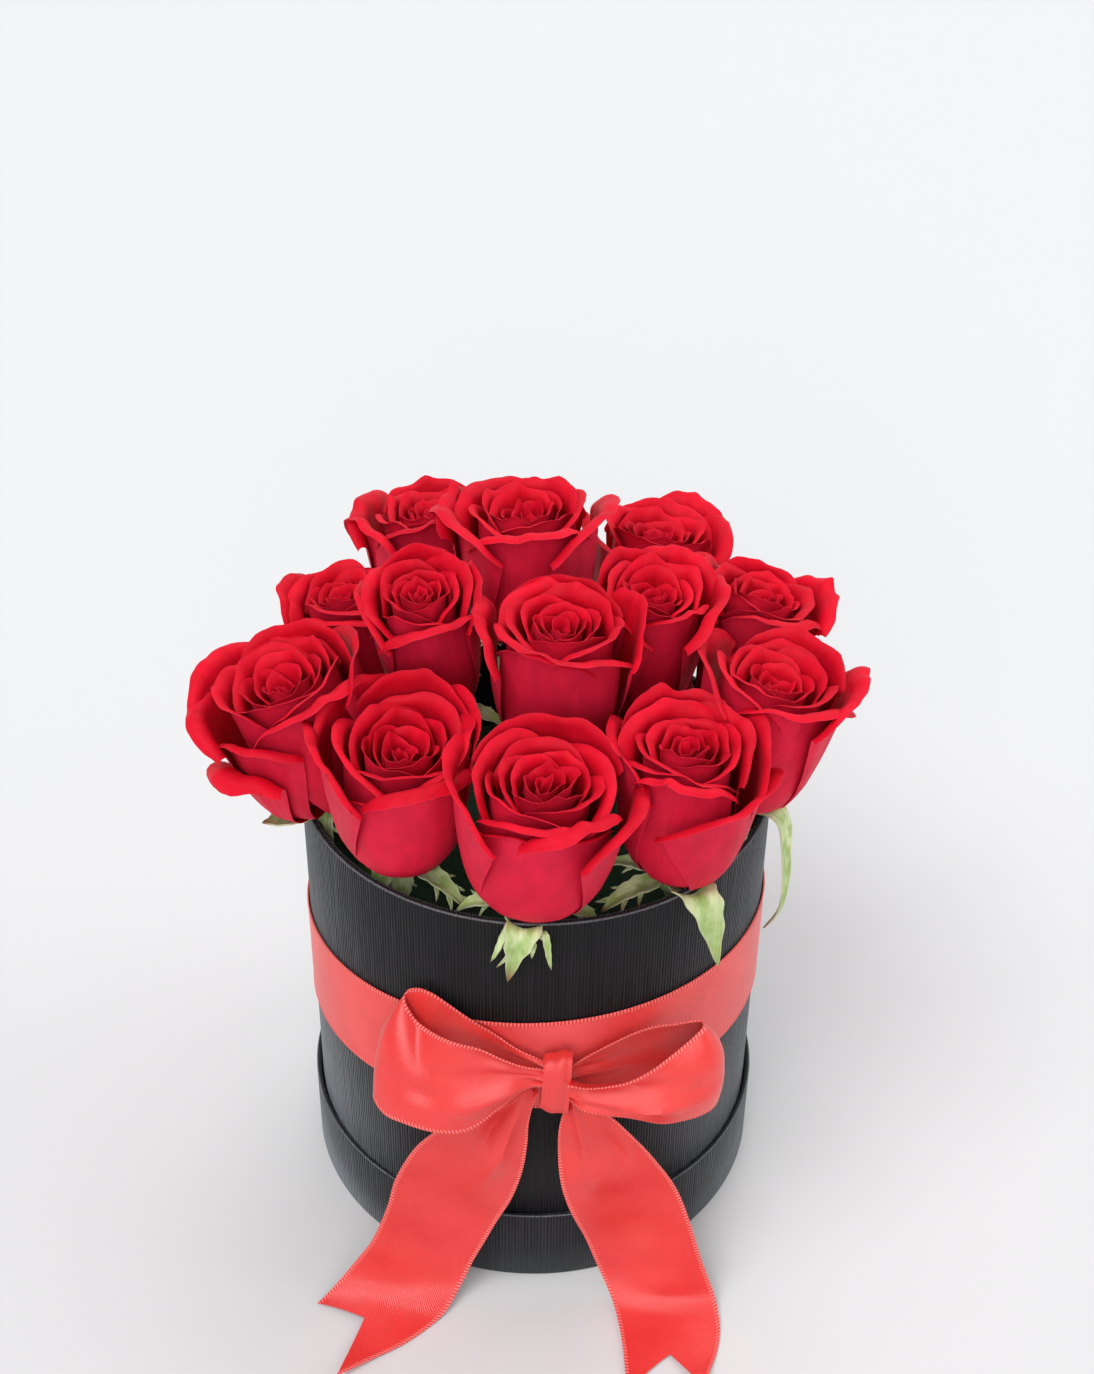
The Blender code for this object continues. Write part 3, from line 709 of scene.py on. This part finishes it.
def standard_sepals(rng, rose):
    """Five sepals spread around the hip. Those that point at the box wall droop or hug the bloom."""
    first = rng.uniform(0, 72)
    place_out = math.hypot(rose.foot.x, rose.foot.y) / MM
    outward = math.degrees(math.atan2(rose.foot.y, rose.foot.x))
    sepals = []
    for number in range(STANDARD_SEPALS):
        direction = first + 72 * number + rng.uniform(-10, 10)
        facing = math.cos(math.radians(direction - outward))
        near_wall = facing > 0 and LINER_CLEAR - place_out < 24 * facing
        path = (HUGGING if number % 2 else DROOPING) if near_wall else LEVEL
        sepals.append((direction, path, rng.uniform(6.2, 8.5), rng.uniform(-1.5, 1.5), number % 3))
    return sepals


def follow(path, share):
    """Distances out and heights at each share of the way along a path."""
    return path_through(np.linspace(0, 1, len(path)), path, share).T


def add_blade(sheets, rng, path, width, direction, drift, chance):
    """A pointed blade along a path of (distance out, height) in one direction from the stem. drift is
    how far its tip lies to the left of that direction."""
    share = np.linspace(0, 1, BLADE_STEPS)
    out, up = follow(path, share)
    across = np.linspace(-1, 1, 9)
    shape = (0.45 + 0.55 * smoothstep(0.0, 0.35, share)) * (1 - share ** 2.4) ** 0.9 + 0.02
    half = (width / 2 * shape * (1 + 0.07 * np.sin(share * 31 + rng.uniform(0, 6))))[:, None]
    tangent = unit(np.stack([np.gradient(out), np.gradient(up)], -1))
    fold = np.abs(across) ** 1.3 * half * 0.34
    side = half * across * 0.94 + drift * share[:, None] ** 2
    forward = out[:, None] - tangent[:, 1:] * fold
    upward = up[:, None] + tangent[:, :1] * fold
    turn = math.radians(direction)
    points = layers(forward * math.cos(turn) - side * math.sin(turn),
                    forward * math.sin(turn) + side * math.cos(turn), upward)
    along = distance_along(np.stack([out, up], -1))[:, None] + rng.uniform(0, 90)
    sheets.add_sheet(points, BLADE_THICK, along, side, layers(share[:, None], np.abs(across), chance))


def build_calyx(rose, material, seed):
    """The swollen hip under the bloom, and its sepals with their side teeth."""
    rng = np.random.default_rng(seed)
    sheets = Sheets()
    low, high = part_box("calyx_" + rose.name)
    length = (Vector(high - low).length / MM) * 0.55
    hip = ((0.0, -length - 0.2), (1.4, -length - 0.1), (2.9, -length + 0.3), (3.4, -8.6), (4.9, -7.4),
           (5.8, -5.4), (5.7, -3.6), (4.9, -2.2), (5.0, -1.0), (3.2, -0.4), (0.0, -0.3))
    sheets.add_turned(hip, 28, (0.2, 0.0, 0.0))
    for direction, path, width, drift, teeth in SEPALS.get(rose.name) or standard_sepals(rng, rose):
        chance = rng.uniform(0, 1)
        add_blade(sheets, rng, path, width, direction, drift, chance)
        for number in range(teeth):
            side = -1 if number % 2 else 1
            at = 0.42 + 0.11 * number + rng.uniform(-0.03, 0.03)
            lobe = follow(path, np.array([at, at + 0.09, at + 0.20])).T - ((0, 0), (0, 0.3), (0, 0.6))
            spread = width * 0.30 * (1 - at * 0.5)
            swing = math.degrees(math.atan2(spread, lobe[0, 0]))
            lean = side * rng.uniform(2.0, 3.6) + drift * at
            add_blade(sheets, rng, lobe, 2.0, direction + side * swing, lean, chance)
    item = sheets.build("rose_" + rose.name + "_calyx", material, rose.matrix, merge=True)
    place(item, "rose_" + rose.name, "sepals", "calyx_" + rose.name)


def build_stem(rose, material, seed):
    """A cut stem with two slight swellings."""
    rng = np.random.default_rng(seed)
    sheets = Sheets()
    low, high = rose.stem_low, rose.stem_high
    heights = np.linspace(low, high, 40)
    knots = [low + (high - low) * rng.uniform(0.2, 0.5), low + (high - low) * rng.uniform(0.6, 0.9)]
    swell = sum(np.exp(-((heights - knot) / 1.6) ** 2) for knot in knots)
    radii = rose.stem_radius * (0.90 + 0.07 * swell)
    sheets.add_turned([(0.0, low), *zip(radii, heights), (0.0, high)], 20)
    item = sheets.build("rose_" + rose.name + "_stem", material, rose.matrix, merge=True)
    place(item, "rose_" + rose.name, "stems", "stem_" + rose.name)


def build_roses():
    petals = petal_material()
    sepal = leaf_material("sepal_green", *SEPAL_COLOURS)
    stem = leaf_material("stem_green", *STEM_COLOURS)
    for number, (name, look) in enumerate(ROSES.items()):
        rose = RoseFrame(name)
        build_bloom(rose, look, petals, 100 + number)
        build_calyx(rose, sepal, 200 + number)
        build_stem(rose, stem, 300 + number)


# ---- box, lid, liner, foam

WALL_SIDES = 256
WALL_GAP = 0.3              # air between a wall and what stands in it
RUB_AND_HIGHLIGHT_EDGE = slice(3, 5)     # points of a wall's outline with the pale edge line: mostly a painted highlight, partly rubbed paper


def size_of(node):
    """(outer radius, bottom, top) of a round node, in millimetres."""
    low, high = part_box(node)
    return high.x / MM, low.z / MM, high.z / MM


def rounded_wall(outer, inner, bottom, top, edge):
    """Closed outline of an upright board wall with a rounded top edge."""
    outline = [(outer, bottom + edge), (outer, mix(bottom, top, 0.5)), (outer, top - edge)]
    crown = (outer - inner) / 2
    for step in range(1, 8):
        turn = math.pi * step / 8
        outline.append(((outer + inner) / 2 + crown * math.cos(turn), top - edge + edge * math.sin(turn)))
    outline += [(inner, top - edge), (inner, mix(bottom, top, 0.5)), (inner, bottom + edge),
                (inner + edge, bottom), (outer - edge, bottom)]
    return outline


def build_box():
    """The wall and the lid's rim in ribbed paper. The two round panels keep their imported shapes."""
    for node, inside, edge, body, paper in (
        ("box_wall", "waterproof_liner", 0.6, "box", paper_material("black_ribbed_paper", *BOX_PAPER)),
        ("lid_rim", "lid_panel", 0.5, "lid_base", paper_material("lid_ribbed_paper", *LID_PAPER)),
    ):
        outer, bottom, top = size_of(node)
        outline = rounded_wall(outer, size_of(inside)[0] + WALL_GAP, bottom, top, edge)
        tone = np.zeros((len(outline), 3))
        # the points on the rounded top edge that carry the painted highlight
        tone[RUB_AND_HIGHLIGHT_EDGE, 0] = 1.0
        sheets = Sheets()
        sheets.add_turned(outline, WALL_SIDES, tone)
        place(sheets.build(node + "_papered", paper), body, "paper_cover", node)
    board = board_material()
    for node in ("box_floor", "lid_panel"):
        frame["nodes"][node].data.materials[0] = board


def build_insert():
    outer, bottom, top = size_of("waterproof_liner")
    inner = size_of("floral_foam")[0] + WALL_GAP
    wall = outer - inner
    sheets = Sheets()
    outline = [(0.0, bottom), (outer - 2.0, bottom), (outer - 0.5, bottom + 0.5), (outer, bottom + 2.0),
               (outer, mix(bottom, top, 0.5)), (outer, top - 0.5), (outer - wall * 0.3, top),
               (inner + wall * 0.3, top), (inner, top - 0.5), (inner, top - 6.0), (inner, top - 14.0),
               (inner, mix(bottom, top, 0.5)), (inner, bottom + wall + 1.2), (inner - 1.0, bottom + wall),
               (0.0, bottom + wall)]
    sheets.add_turned(outline, 192)
    place(sheets.build("liner_film", film_material(), merge=True), "insert", "liner_film", "waterproof_liner")
    frame["nodes"]["floral_foam"].data.materials[0] = foam_material()


# ---- ribbon

RIBBON_THICK = 0.34
EDGE_CORD = 0.30            # extra thickness of the stitched edge
RIBBON_HALF = 19.4          # half of the ribbon's width
RIBBON_COLUMNS = 27         # points across the ribbon
THREAD_STEP = 0.75          # spacing of sections along the ribbon
BAND_SIDES = 720
BAND_STAND_OFF = 0.42       # how far the band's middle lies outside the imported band's inner face
NOTCH_REACH = 32.0          # length of tail over which the V cut is drawn out


def add_ribbon_sheet(sheets, points, along, worn=0.0):
    """A ribbon with a stitched cord along both edges. worn is 1 where its weave is worn matt."""
    across = dense_at_edges(points.shape[1])
    cord = EDGE_CORD * np.exp(-((np.abs(across) - 0.975) / 0.022) ** 2)
    sheets.add_sheet(points, RIBBON_THICK + cord, along, RIBBON_HALF * across,
                     layers(np.abs(across), worn, 0.0))


def add_bow_ribbon(sheets, edges, push, notch):
    """A ribbon whose two edges follow smooth curves through the given places. push(s, u) gives how far
    each point stands off to the left of the way ahead, seen from the top edge, where s is the distance
    along the middle and u is -1 at the bottom edge and 1 at the top edge. A notch cuts a V in its end."""
    middle = (edges[:, 0] + edges[:, 1]) / 2
    gaps = np.linalg.norm(np.diff(middle, axis=0), axis=1)
    knots = np.concatenate([[0], np.cumsum(gaps ** 0.75 + 0.3)])
    fine = np.linspace(0, knots[-1], 600)
    run = distance_along(path_through(knots, middle, fine))
    length = np.linspace(0, run[-1], int(run[-1] / THREAD_STEP))
    at = np.interp(length, run, fine)
    top, bottom = (path_through(knots, edges[:, edge], at)[:, None, :] for edge in range(2))
    across = dense_at_edges(RIBBON_COLUMNS)
    points = (top + bottom) / 2 + (top - bottom) / 2 * across[:, None]
    normal = unit(np.cross(np.gradient(points, axis=0), np.gradient(points, axis=1)))
    points = points + normal * push(length[:, None], across)[..., None]
    along = distance_along(points)
    if notch:
        near_end = np.clip((along - along[-1:] + NOTCH_REACH) / NOTCH_REACH, 0, 1)
        drawn = along - notch * (1 - np.abs(across)) * near_end
        for column in range(len(across)):
            points[:, column] = np.stack([np.interp(drawn[:, column], along[:, column], line)
                                          for line in points[:, column].T], -1)
        along = drawn
    add_ribbon_sheet(sheets, points, along)


def bump_at(value, middle, width):
    return np.exp(-((value - middle) / width) ** 2)


def build_band(satin):
    """The flat turn of ribbon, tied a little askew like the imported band. Its two ends meet behind the
    knot."""
    packed = np.array([point.co for point in frame["nodes"]["ribbon_band"].data.vertices]) / MM
    design = layers(1.0, packed[:, 0], packed[:, 1])
    fit = np.linalg.lstsq(design, packed[:, 2], rcond=None)[0]
    half = (packed[:, 2] - design @ fit).max()
    radius = np.hypot(packed[:, 0], packed[:, 1]).min() + BAND_STAND_OFF
    turn = np.linspace(-0.5 * math.pi, 1.5 * math.pi, BAND_SIDES + 1)[:, None]
    across = dense_at_edges(RIBBON_COLUMNS)
    height = fit[0] + fit[1] * radius * np.cos(turn) + fit[2] * radius * np.sin(turn)
    stand_off = radius + 0.10 * (1 + np.sin(turn * 5 + 1.0)) * (1 - across ** 2)
    points = layers(stand_off * np.cos(turn), stand_off * np.sin(turn), height + half * across)
    worn = bump_at(np.degrees(turn) % 360, 276.0, 14.0)
    sheets = Sheets()
    add_ribbon_sheet(sheets, points, radius * turn, worn)
    place(sheets.build("ribbon_band_satin", satin), "box", "satin_ribbon", "ribbon_band")


# The bow's sections in turn, each as x, y, z of its top edge and x, y, z of its bottom edge, in
# millimetres from the middle of the knot.
LOOP_LEFT = (
    (-3.9, -3.4, 7.5, -3.9, -3.4, 1.5), (-10.9, -3.9, 10.5, -8.4, -3.9, 1.0),
    (-16.9, -4.4, 14.5, -12.9, -5.9, -1.5), (-23.9, -3.4, 18.0, -18.9, -7.9, -6.5),
    (-31.9, -0.4, 18.0, -26.4, -9.2, -12.2), (-38.4, 3.6, 17.0, -33.4, -9.6, -14.0),
    (-44.4, 8.6, 17.0, -40.9, -9.4, -13.5), (-47.7, 11.6, 20.5, -48.9, -6.9, -12.7),
    (-48.9, 13.8, 23.2, -55.4, -2.9, -12.7), (-47.7, 15.2, 25.0, -58.9, 1.6, -10.0),
    (-44.4, 14.0, 27.0, -56.4, 6.1, -8.0), (-40.4, 11.6, 27.5, -47.9, 7.8, -8.0),
    (-34.9, 9.4, 24.5, -38.9, 7.4, -7.5), (-27.9, 7.1, 20.5, -29.9, 5.2, -6.0),
    (-20.9, 5.0, 16.3, -20.9, 3.6, -3.5), (-12.9, 2.8, 11.2, -12.9, 2.2, -0.5),
    (-3.9, 1.0, 7.0, -3.9, 1.0, 1.0),
)
LOOP_RIGHT = (
    (4.1, -3.4, 3.8, 4.1, -2.9, -4.5), (9.1, -4.4, 3.5, 8.6, -2.9, -9.2),
    (14.6, -5.4, 5.0, 14.6, -2.9, -10.8), (22.1, -6.4, 8.0, 21.6, -2.9, -12.0),
    (28.6, -5.4, 11.5, 28.1, -2.9, -13.5), (33.6, -3.9, 14.5, 34.1, -3.2, -14.5),
    (39.1, -1.9, 18.0, 40.6, -3.2, -13.7), (43.1, 0.1, 21.0, 46.6, -2.2, -12.5),
    (45.9, 2.3, 23.5, 51.1, 0.6, -11.5), (45.7, 4.6, 23.3, 52.6, 4.1, -10.5),
    (42.6, 5.8, 22.2, 49.1, 7.6, -10.5), (38.1, 7.0, 20.2, 41.6, 8.6, -11.0),
    (31.6, 7.6, 18.0, 33.1, 8.1, -11.0), (23.6, 7.4, 14.3, 24.1, 7.0, -9.0),
    (17.1, 6.0, 11.6, 16.6, 5.2, -7.0), (11.1, 4.2, 8.8, 10.6, 3.6, -5.0),
    (4.1, 1.6, 6.0, 4.1, 1.1, -2.0),
)
TAIL_LEFT = (
    (-9.4, 0.0, -2.0, -5.4, 0.0, -5.0), (-16.9, -0.9, -6.0, -7.5, -0.4, -11.0),
    (-26.9, -1.4, -11.5, -8.7, -0.9, -19.0), (-35.9, -1.2, -19.0, -9.1, -0.9, -28.0),
    (-42.9, -0.8, -28.0, -10.5, -0.8, -40.0), (-48.4, -0.4, -37.0, -12.9, -0.8, -50.5),
    (-53.7, -0.4, -50.0, -17.2, -1.0, -63.0), (-56.4, -0.4, -61.0, -21.9, -1.4, -75.0),
    (-61.4, -0.4, -76.0, -27.9, -3.0, -89.0), (-66.4, -0.8, -86.0, -32.4, -5.9, -98.0),
    (-71.4, -1.9, -94.0, -37.9, -13.4, -102.8), (-75.9, -4.2, -99.4, -49.9, -24.4, -103.2),
    (-79.4, -6.8, -102.2, -60.9, -31.4, -102.6), (-81.7, -8.9, -103.2, -71.9, -39.4, -100.5),
)
TAIL_RIGHT = (
    (4.1, 0.0, -6.0, 7.1, 0.0, -4.0), (2.7, -0.4, -13.0, 13.1, -0.8, -10.0),
    (1.3, -0.9, -21.0, 20.6, -1.0, -17.5), (1.1, -1.0, -32.0, 28.1, -0.9, -28.0),
    (1.8, -1.0, -43.0, 34.6, -0.7, -39.0), (3.9, -1.0, -54.0, 40.1, -0.6, -49.5),
    (7.6, -1.0, -66.0, 44.9, -0.6, -61.0), (12.1, -1.2, -80.0, 49.1, -0.8, -75.0),
    (16.6, -2.2, -93.0, 53.1, -1.6, -89.0), (20.7, -5.2, -101.4, 57.1, -6.4, -100.0),
    (23.1, -13.9, -103.2, 58.3, -16.4, -102.8), (24.5, -24.4, -103.2, 56.9, -25.4, -103.2),
    (25.3, -36.9, -103.2, 53.4, -35.4, -101.5), (25.7, -42.4, -102.8, 51.6, -41.9, -100.5),
)
NOTCH = 15.0                # depth of the V cut in each tail
KNOT_SQUARE = 0.60          # below 1 the knot's loop is squarer than an ellipse


def knot_place():
    """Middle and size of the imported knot."""
    low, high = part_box("bow_knot")
    return np.array((low + high) / 2) / MM, np.array(high - low) / MM


def crease_at(value, middle, width):
    """Like bump_at, with a sharper ridge."""
    return np.exp(1 - np.sqrt(1 + ((value - middle) / width * 1.6) ** 2))


def soft_creases(along, across):
    """Shallow slanting waves that catch the light on loose satin."""
    return 0.55 * np.sin(along / 5.6 + 2.2 * across + 1.0) * np.sin(along / 10.3 - 1.6 * across + 0.4)


def gathers(along, across, phase, reach, size):
    """Folds that start at the knot, fan out and fade."""
    fan = np.sin(across * 5.2 + phase) + 0.6 * np.sin(across * 9.7 + phase * 2.3)
    return size * np.exp(-along / reach) * fan


# Shape of each loop and tail. A fold is (height, profile across, place across, drift of that place for
# each millimetre along, width across, place along, reach along). A swell, on loops, is (height, lean,
# place, reach). A fan is (height, waves, phase, slant). A roll, on tails, is (height, length, slant,
# phase, loss at the edges, start and end of the calm end). A gather is (distance from the knot at the
# far end or 0, phase, reach, size).
BOW = {
    "bow_loop_left": dict(
        body="box", sections=LOOP_LEFT, swells=((4.4, 0, 50, 24), (1.4, 0, 95, 20)),
        fan=(1.1, 7.5, 0.0, -0.02), gathers=((0, 0.8, 9.0, 1.3), (118, 2.0, 12.0, 1.6)),
        folds=((-2.8, crease_at, 0.12, 0.004, 0.20, 14, 17), (3.0, crease_at, -0.36, -0.002, 0.20, 22, 14),
               (-1.6, bump_at, -0.30, 0, 0.22, 40, 9))),
    "bow_loop_right": dict(
        body="box", sections=LOOP_RIGHT, swells=((5.2, 3, 43, 20), (1.2, 0, 82, 18)),
        fan=(1.0, 7.0, 1.2, 0.02), gathers=((0, 2.1, 9.0, 1.3), (104, 0.4, 12.0, 1.6)),
        folds=((-2.6, crease_at, 0.36, 0, 0.20, 14, 18), (3.0, crease_at, -0.15, -0.004, 0.20, 26, 14),
               (-1.4, bump_at, -0.10, 0, 0.30, 40, 8))),
    "bow_tail_left": dict(
        body="tail_left", sections=TAIL_LEFT, roll=(2.2, 14.0, 1.3, 0.0, 0.5, 92, 112),
        gathers=((0, 1.2, 10.0, 1.4),),
        folds=((4.6, crease_at, -0.50, 0.003, 0.22, 28, 19), (-3.0, crease_at, -0.08, 0, 0.13, 22, 17),
               (1.6, crease_at, 0.45, 0, 0.16, 14, 12))),
    "bow_tail_right": dict(
        body="tail_right", sections=TAIL_RIGHT, roll=(3.0, 12.5, -1.4, 2.6, 0.4, 94, 110),
        gathers=((0, 2.8, 8.0, 0.9),),
        folds=((3.6, crease_at, -0.30, 0, 0.22, 32, 12), (-3.0, crease_at, 0.30, 0, 0.14, 20, 16),
               (1.2, bump_at, 0.85, 0, 0.25, 36, 11))),
}


def bow_push(look, along, across):
    """How far each point of a loop or tail stands off its smooth strip."""
    lift = 0.0
    for height, profile, middle, drift, width, start, reach in look["folds"]:
        lift = lift + height * profile(across, middle + along * drift, width) * bump_at(along, start, reach)
    for end, phase, reach, size in look["gathers"]:
        lift = lift + gathers(end - along if end else along, across, phase, reach, size)
    for height, lean, middle, reach in look.get("swells", ()):
        lift = lift + height * bump_at(along - lean * across, middle, reach) * (1 - across ** 2)
    if "fan" in look:
        height, waves, phase, slant = look["fan"]
        lift = lift + height * np.sin(across * waves + phase + along * slant) * bump_at(along, 15.0, 11.0)
    if "roll" in look:
        height, length, slant, phase, loss, calm_start, calm_end = look["roll"]
        shown = smoothstep(20, 45, along) * (1 - smoothstep(calm_start, calm_end, along))
        wave = np.sin(along / length + slant * across + phase)
        lift = lift + height * wave * (1 - loss * across ** 2) * shown
    loose = smoothstep(6, 20, along) * (1 - smoothstep(86, 102, along))
    return lift + soft_creases(along, across) * loose


def build_bow(satin):
    middle, _ = knot_place()
    for name, look in BOW.items():
        edges = np.array(look["sections"]).reshape(-1, 2, 3) + middle
        side = -1 if "left" in name else 1
        sheets = Sheets()
        add_bow_ribbon(sheets, edges, lambda along, across: side * bow_push(look, along, across),
                       NOTCH if "tail" in name else 0.0)
        place(sheets.build(name + "_satin", satin), look["body"], "satin_ribbon", name)


def build_knot(satin):
    """The wrap around the middle of the bow: a short soft tube of ribbon, taller on its right."""
    centre, (wide, deep, tall) = knot_place()
    turn = np.linspace(0, 2 * math.pi, 97)[:, None]
    loop_z = np.sign(np.cos(turn)) * np.abs(np.cos(turn)) ** KNOT_SQUARE * (tall / 2 - 0.9)
    loop_y = -np.sign(np.sin(turn)) * np.abs(np.sin(turn)) ** KNOT_SQUARE * (deep / 2 + 0.5)
    across = np.linspace(-1, 1, 19)
    points = centre + layers(across * (wide / 2 - 0.3) + 0.05 * loop_z, loop_y,
                             loop_z * (1 + 0.10 * across) - 0.3)
    fold = 0.8 * (1 - across ** 4) - 0.35 * bump_at(across, 0.70, 0.12)
    fold = fold + 0.25 * np.sin(across * 5 + turn)
    outward = unit(layers(0.0, loop_y, loop_z * 0.3))
    points = points + outward * fold[..., None]
    sheets = Sheets()
    sheets.add_sheet(points[::-1], 0.5, turn * 9.0, across * 6.0, layers(np.abs(across) * 0.9, 0.0, 0.0))
    place(sheets.build("bow_knot_satin", satin), "box", "satin_ribbon", "bow_knot")


def build_ribbon():
    satin = satin_material()
    build_band(satin)
    build_bow(satin)
    build_knot(satin)


# ---- studio

CAMERA_PLACE = (0.0031, -0.5040, 0.5493)
CAMERA_DOWN = 34.916        # degrees below the horizon
CAMERA_ROLL = 0.8548
LENS = 48.6
ROOM_BEFORE = 0.30          # light from the room before the box, and from behind it
ROOM_BEHIND = 0.78
BACKDROP = 0.86             # how bright the room looks to the camera
FLOOR_REACH = 40.0          # metres
FLOOR_COLOUR = (0.62, 0.62, 0.625)
ROOM_COLOUR = (0.96, 0.98, 1.0, 1.0)
# Soft suns: (name, place that it shines from, angle it fills in degrees, strength).
SUNS = (
    ("key", (-0.6, -0.6, 1.4), 32.0, 1.50),
    ("front", (-0.15, -1.4, 0.75), 40.0, 1.45),
    ("fill", (1.3, 0.1, 0.6), 40.0, 0.80),
    ("back", (0.3, 0.9, 1.3), 36.0, 0.80),
)


def build_camera(scene):
    camera_data = bpy.data.cameras.new("camera")
    camera_data.lens = LENS
    camera_data.clip_start = 0.01
    camera = bpy.data.objects.new("camera", camera_data)
    scene.collection.objects.link(camera)
    down = Matrix.Rotation(math.radians(90 - CAMERA_DOWN), 4, "X")
    roll = Matrix.Rotation(math.radians(CAMERA_ROLL), 4, "Z")
    camera.matrix_world = Matrix.Translation(CAMERA_PLACE) @ down @ roll
    scene.camera = camera


def build_floor(scene):
    mesh = bpy.data.meshes.new("floor")
    corners = ((-1, -1), (1, -1), (1, 1), (-1, 1))
    mesh.from_pydata([(x * FLOOR_REACH, y * FLOOR_REACH, 0) for x, y in corners], [], [(0, 1, 2, 3)])
    pale = Nodes("pale_floor", 0.7, 0.2)
    pale.colour(FLOOR_COLOUR)
    mesh.materials.append(pale.material)
    floor = bpy.data.objects.new("floor", mesh)
    scene.collection.objects.link(floor)


def build_room(scene):
    """Even light from all around, brighter from behind the box, and a plain backdrop for the camera."""
    world = bpy.data.worlds.new("studio")
    world.use_nodes = True
    tree = world.node_tree
    where, parts, fade, seen, strength = (tree.nodes.new("ShaderNode" + kind) for kind in (
        "TexCoord", "SeparateXYZ", "MapRange", "LightPath", "Mix"))
    fade.inputs["From Min"].default_value = -1.0
    fade.inputs["To Min"].default_value = ROOM_BEFORE
    fade.inputs["To Max"].default_value = ROOM_BEHIND
    strength.inputs["B"].default_value = BACKDROP
    background = tree.nodes["Background"]
    background.inputs["Color"].default_value = ROOM_COLOUR
    for start, end in (
        (where.outputs["Generated"], parts.inputs[0]),
        (parts.outputs["Y"], fade.inputs["Value"]),
        (seen.outputs["Is Camera Ray"], strength.inputs["Factor"]),
        (fade.outputs[0], strength.inputs["A"]),
        (strength.outputs["Result"], background.inputs["Strength"]),
    ):
        tree.links.new(start, end)
    scene.world = world


def build_studio():
    scene = bpy.context.scene
    build_camera(scene)
    build_floor(scene)
    build_room(scene)
    for name, where, wide, power in SUNS:
        light_data = bpy.data.lights.new(name, "SUN")
        light_data.angle = math.radians(wide)
        light_data.energy = power
        light = bpy.data.objects.new(name, light_data)
        light.rotation_euler = (-Vector(where)).to_track_quat("-Z", "Y").to_euler()
        scene.collection.objects.link(light)
    scene.view_settings.view_transform = "Standard"
    scene.view_settings.look = "None"


build_box()
build_insert()
build_ribbon()
build_roses()
build_studio()
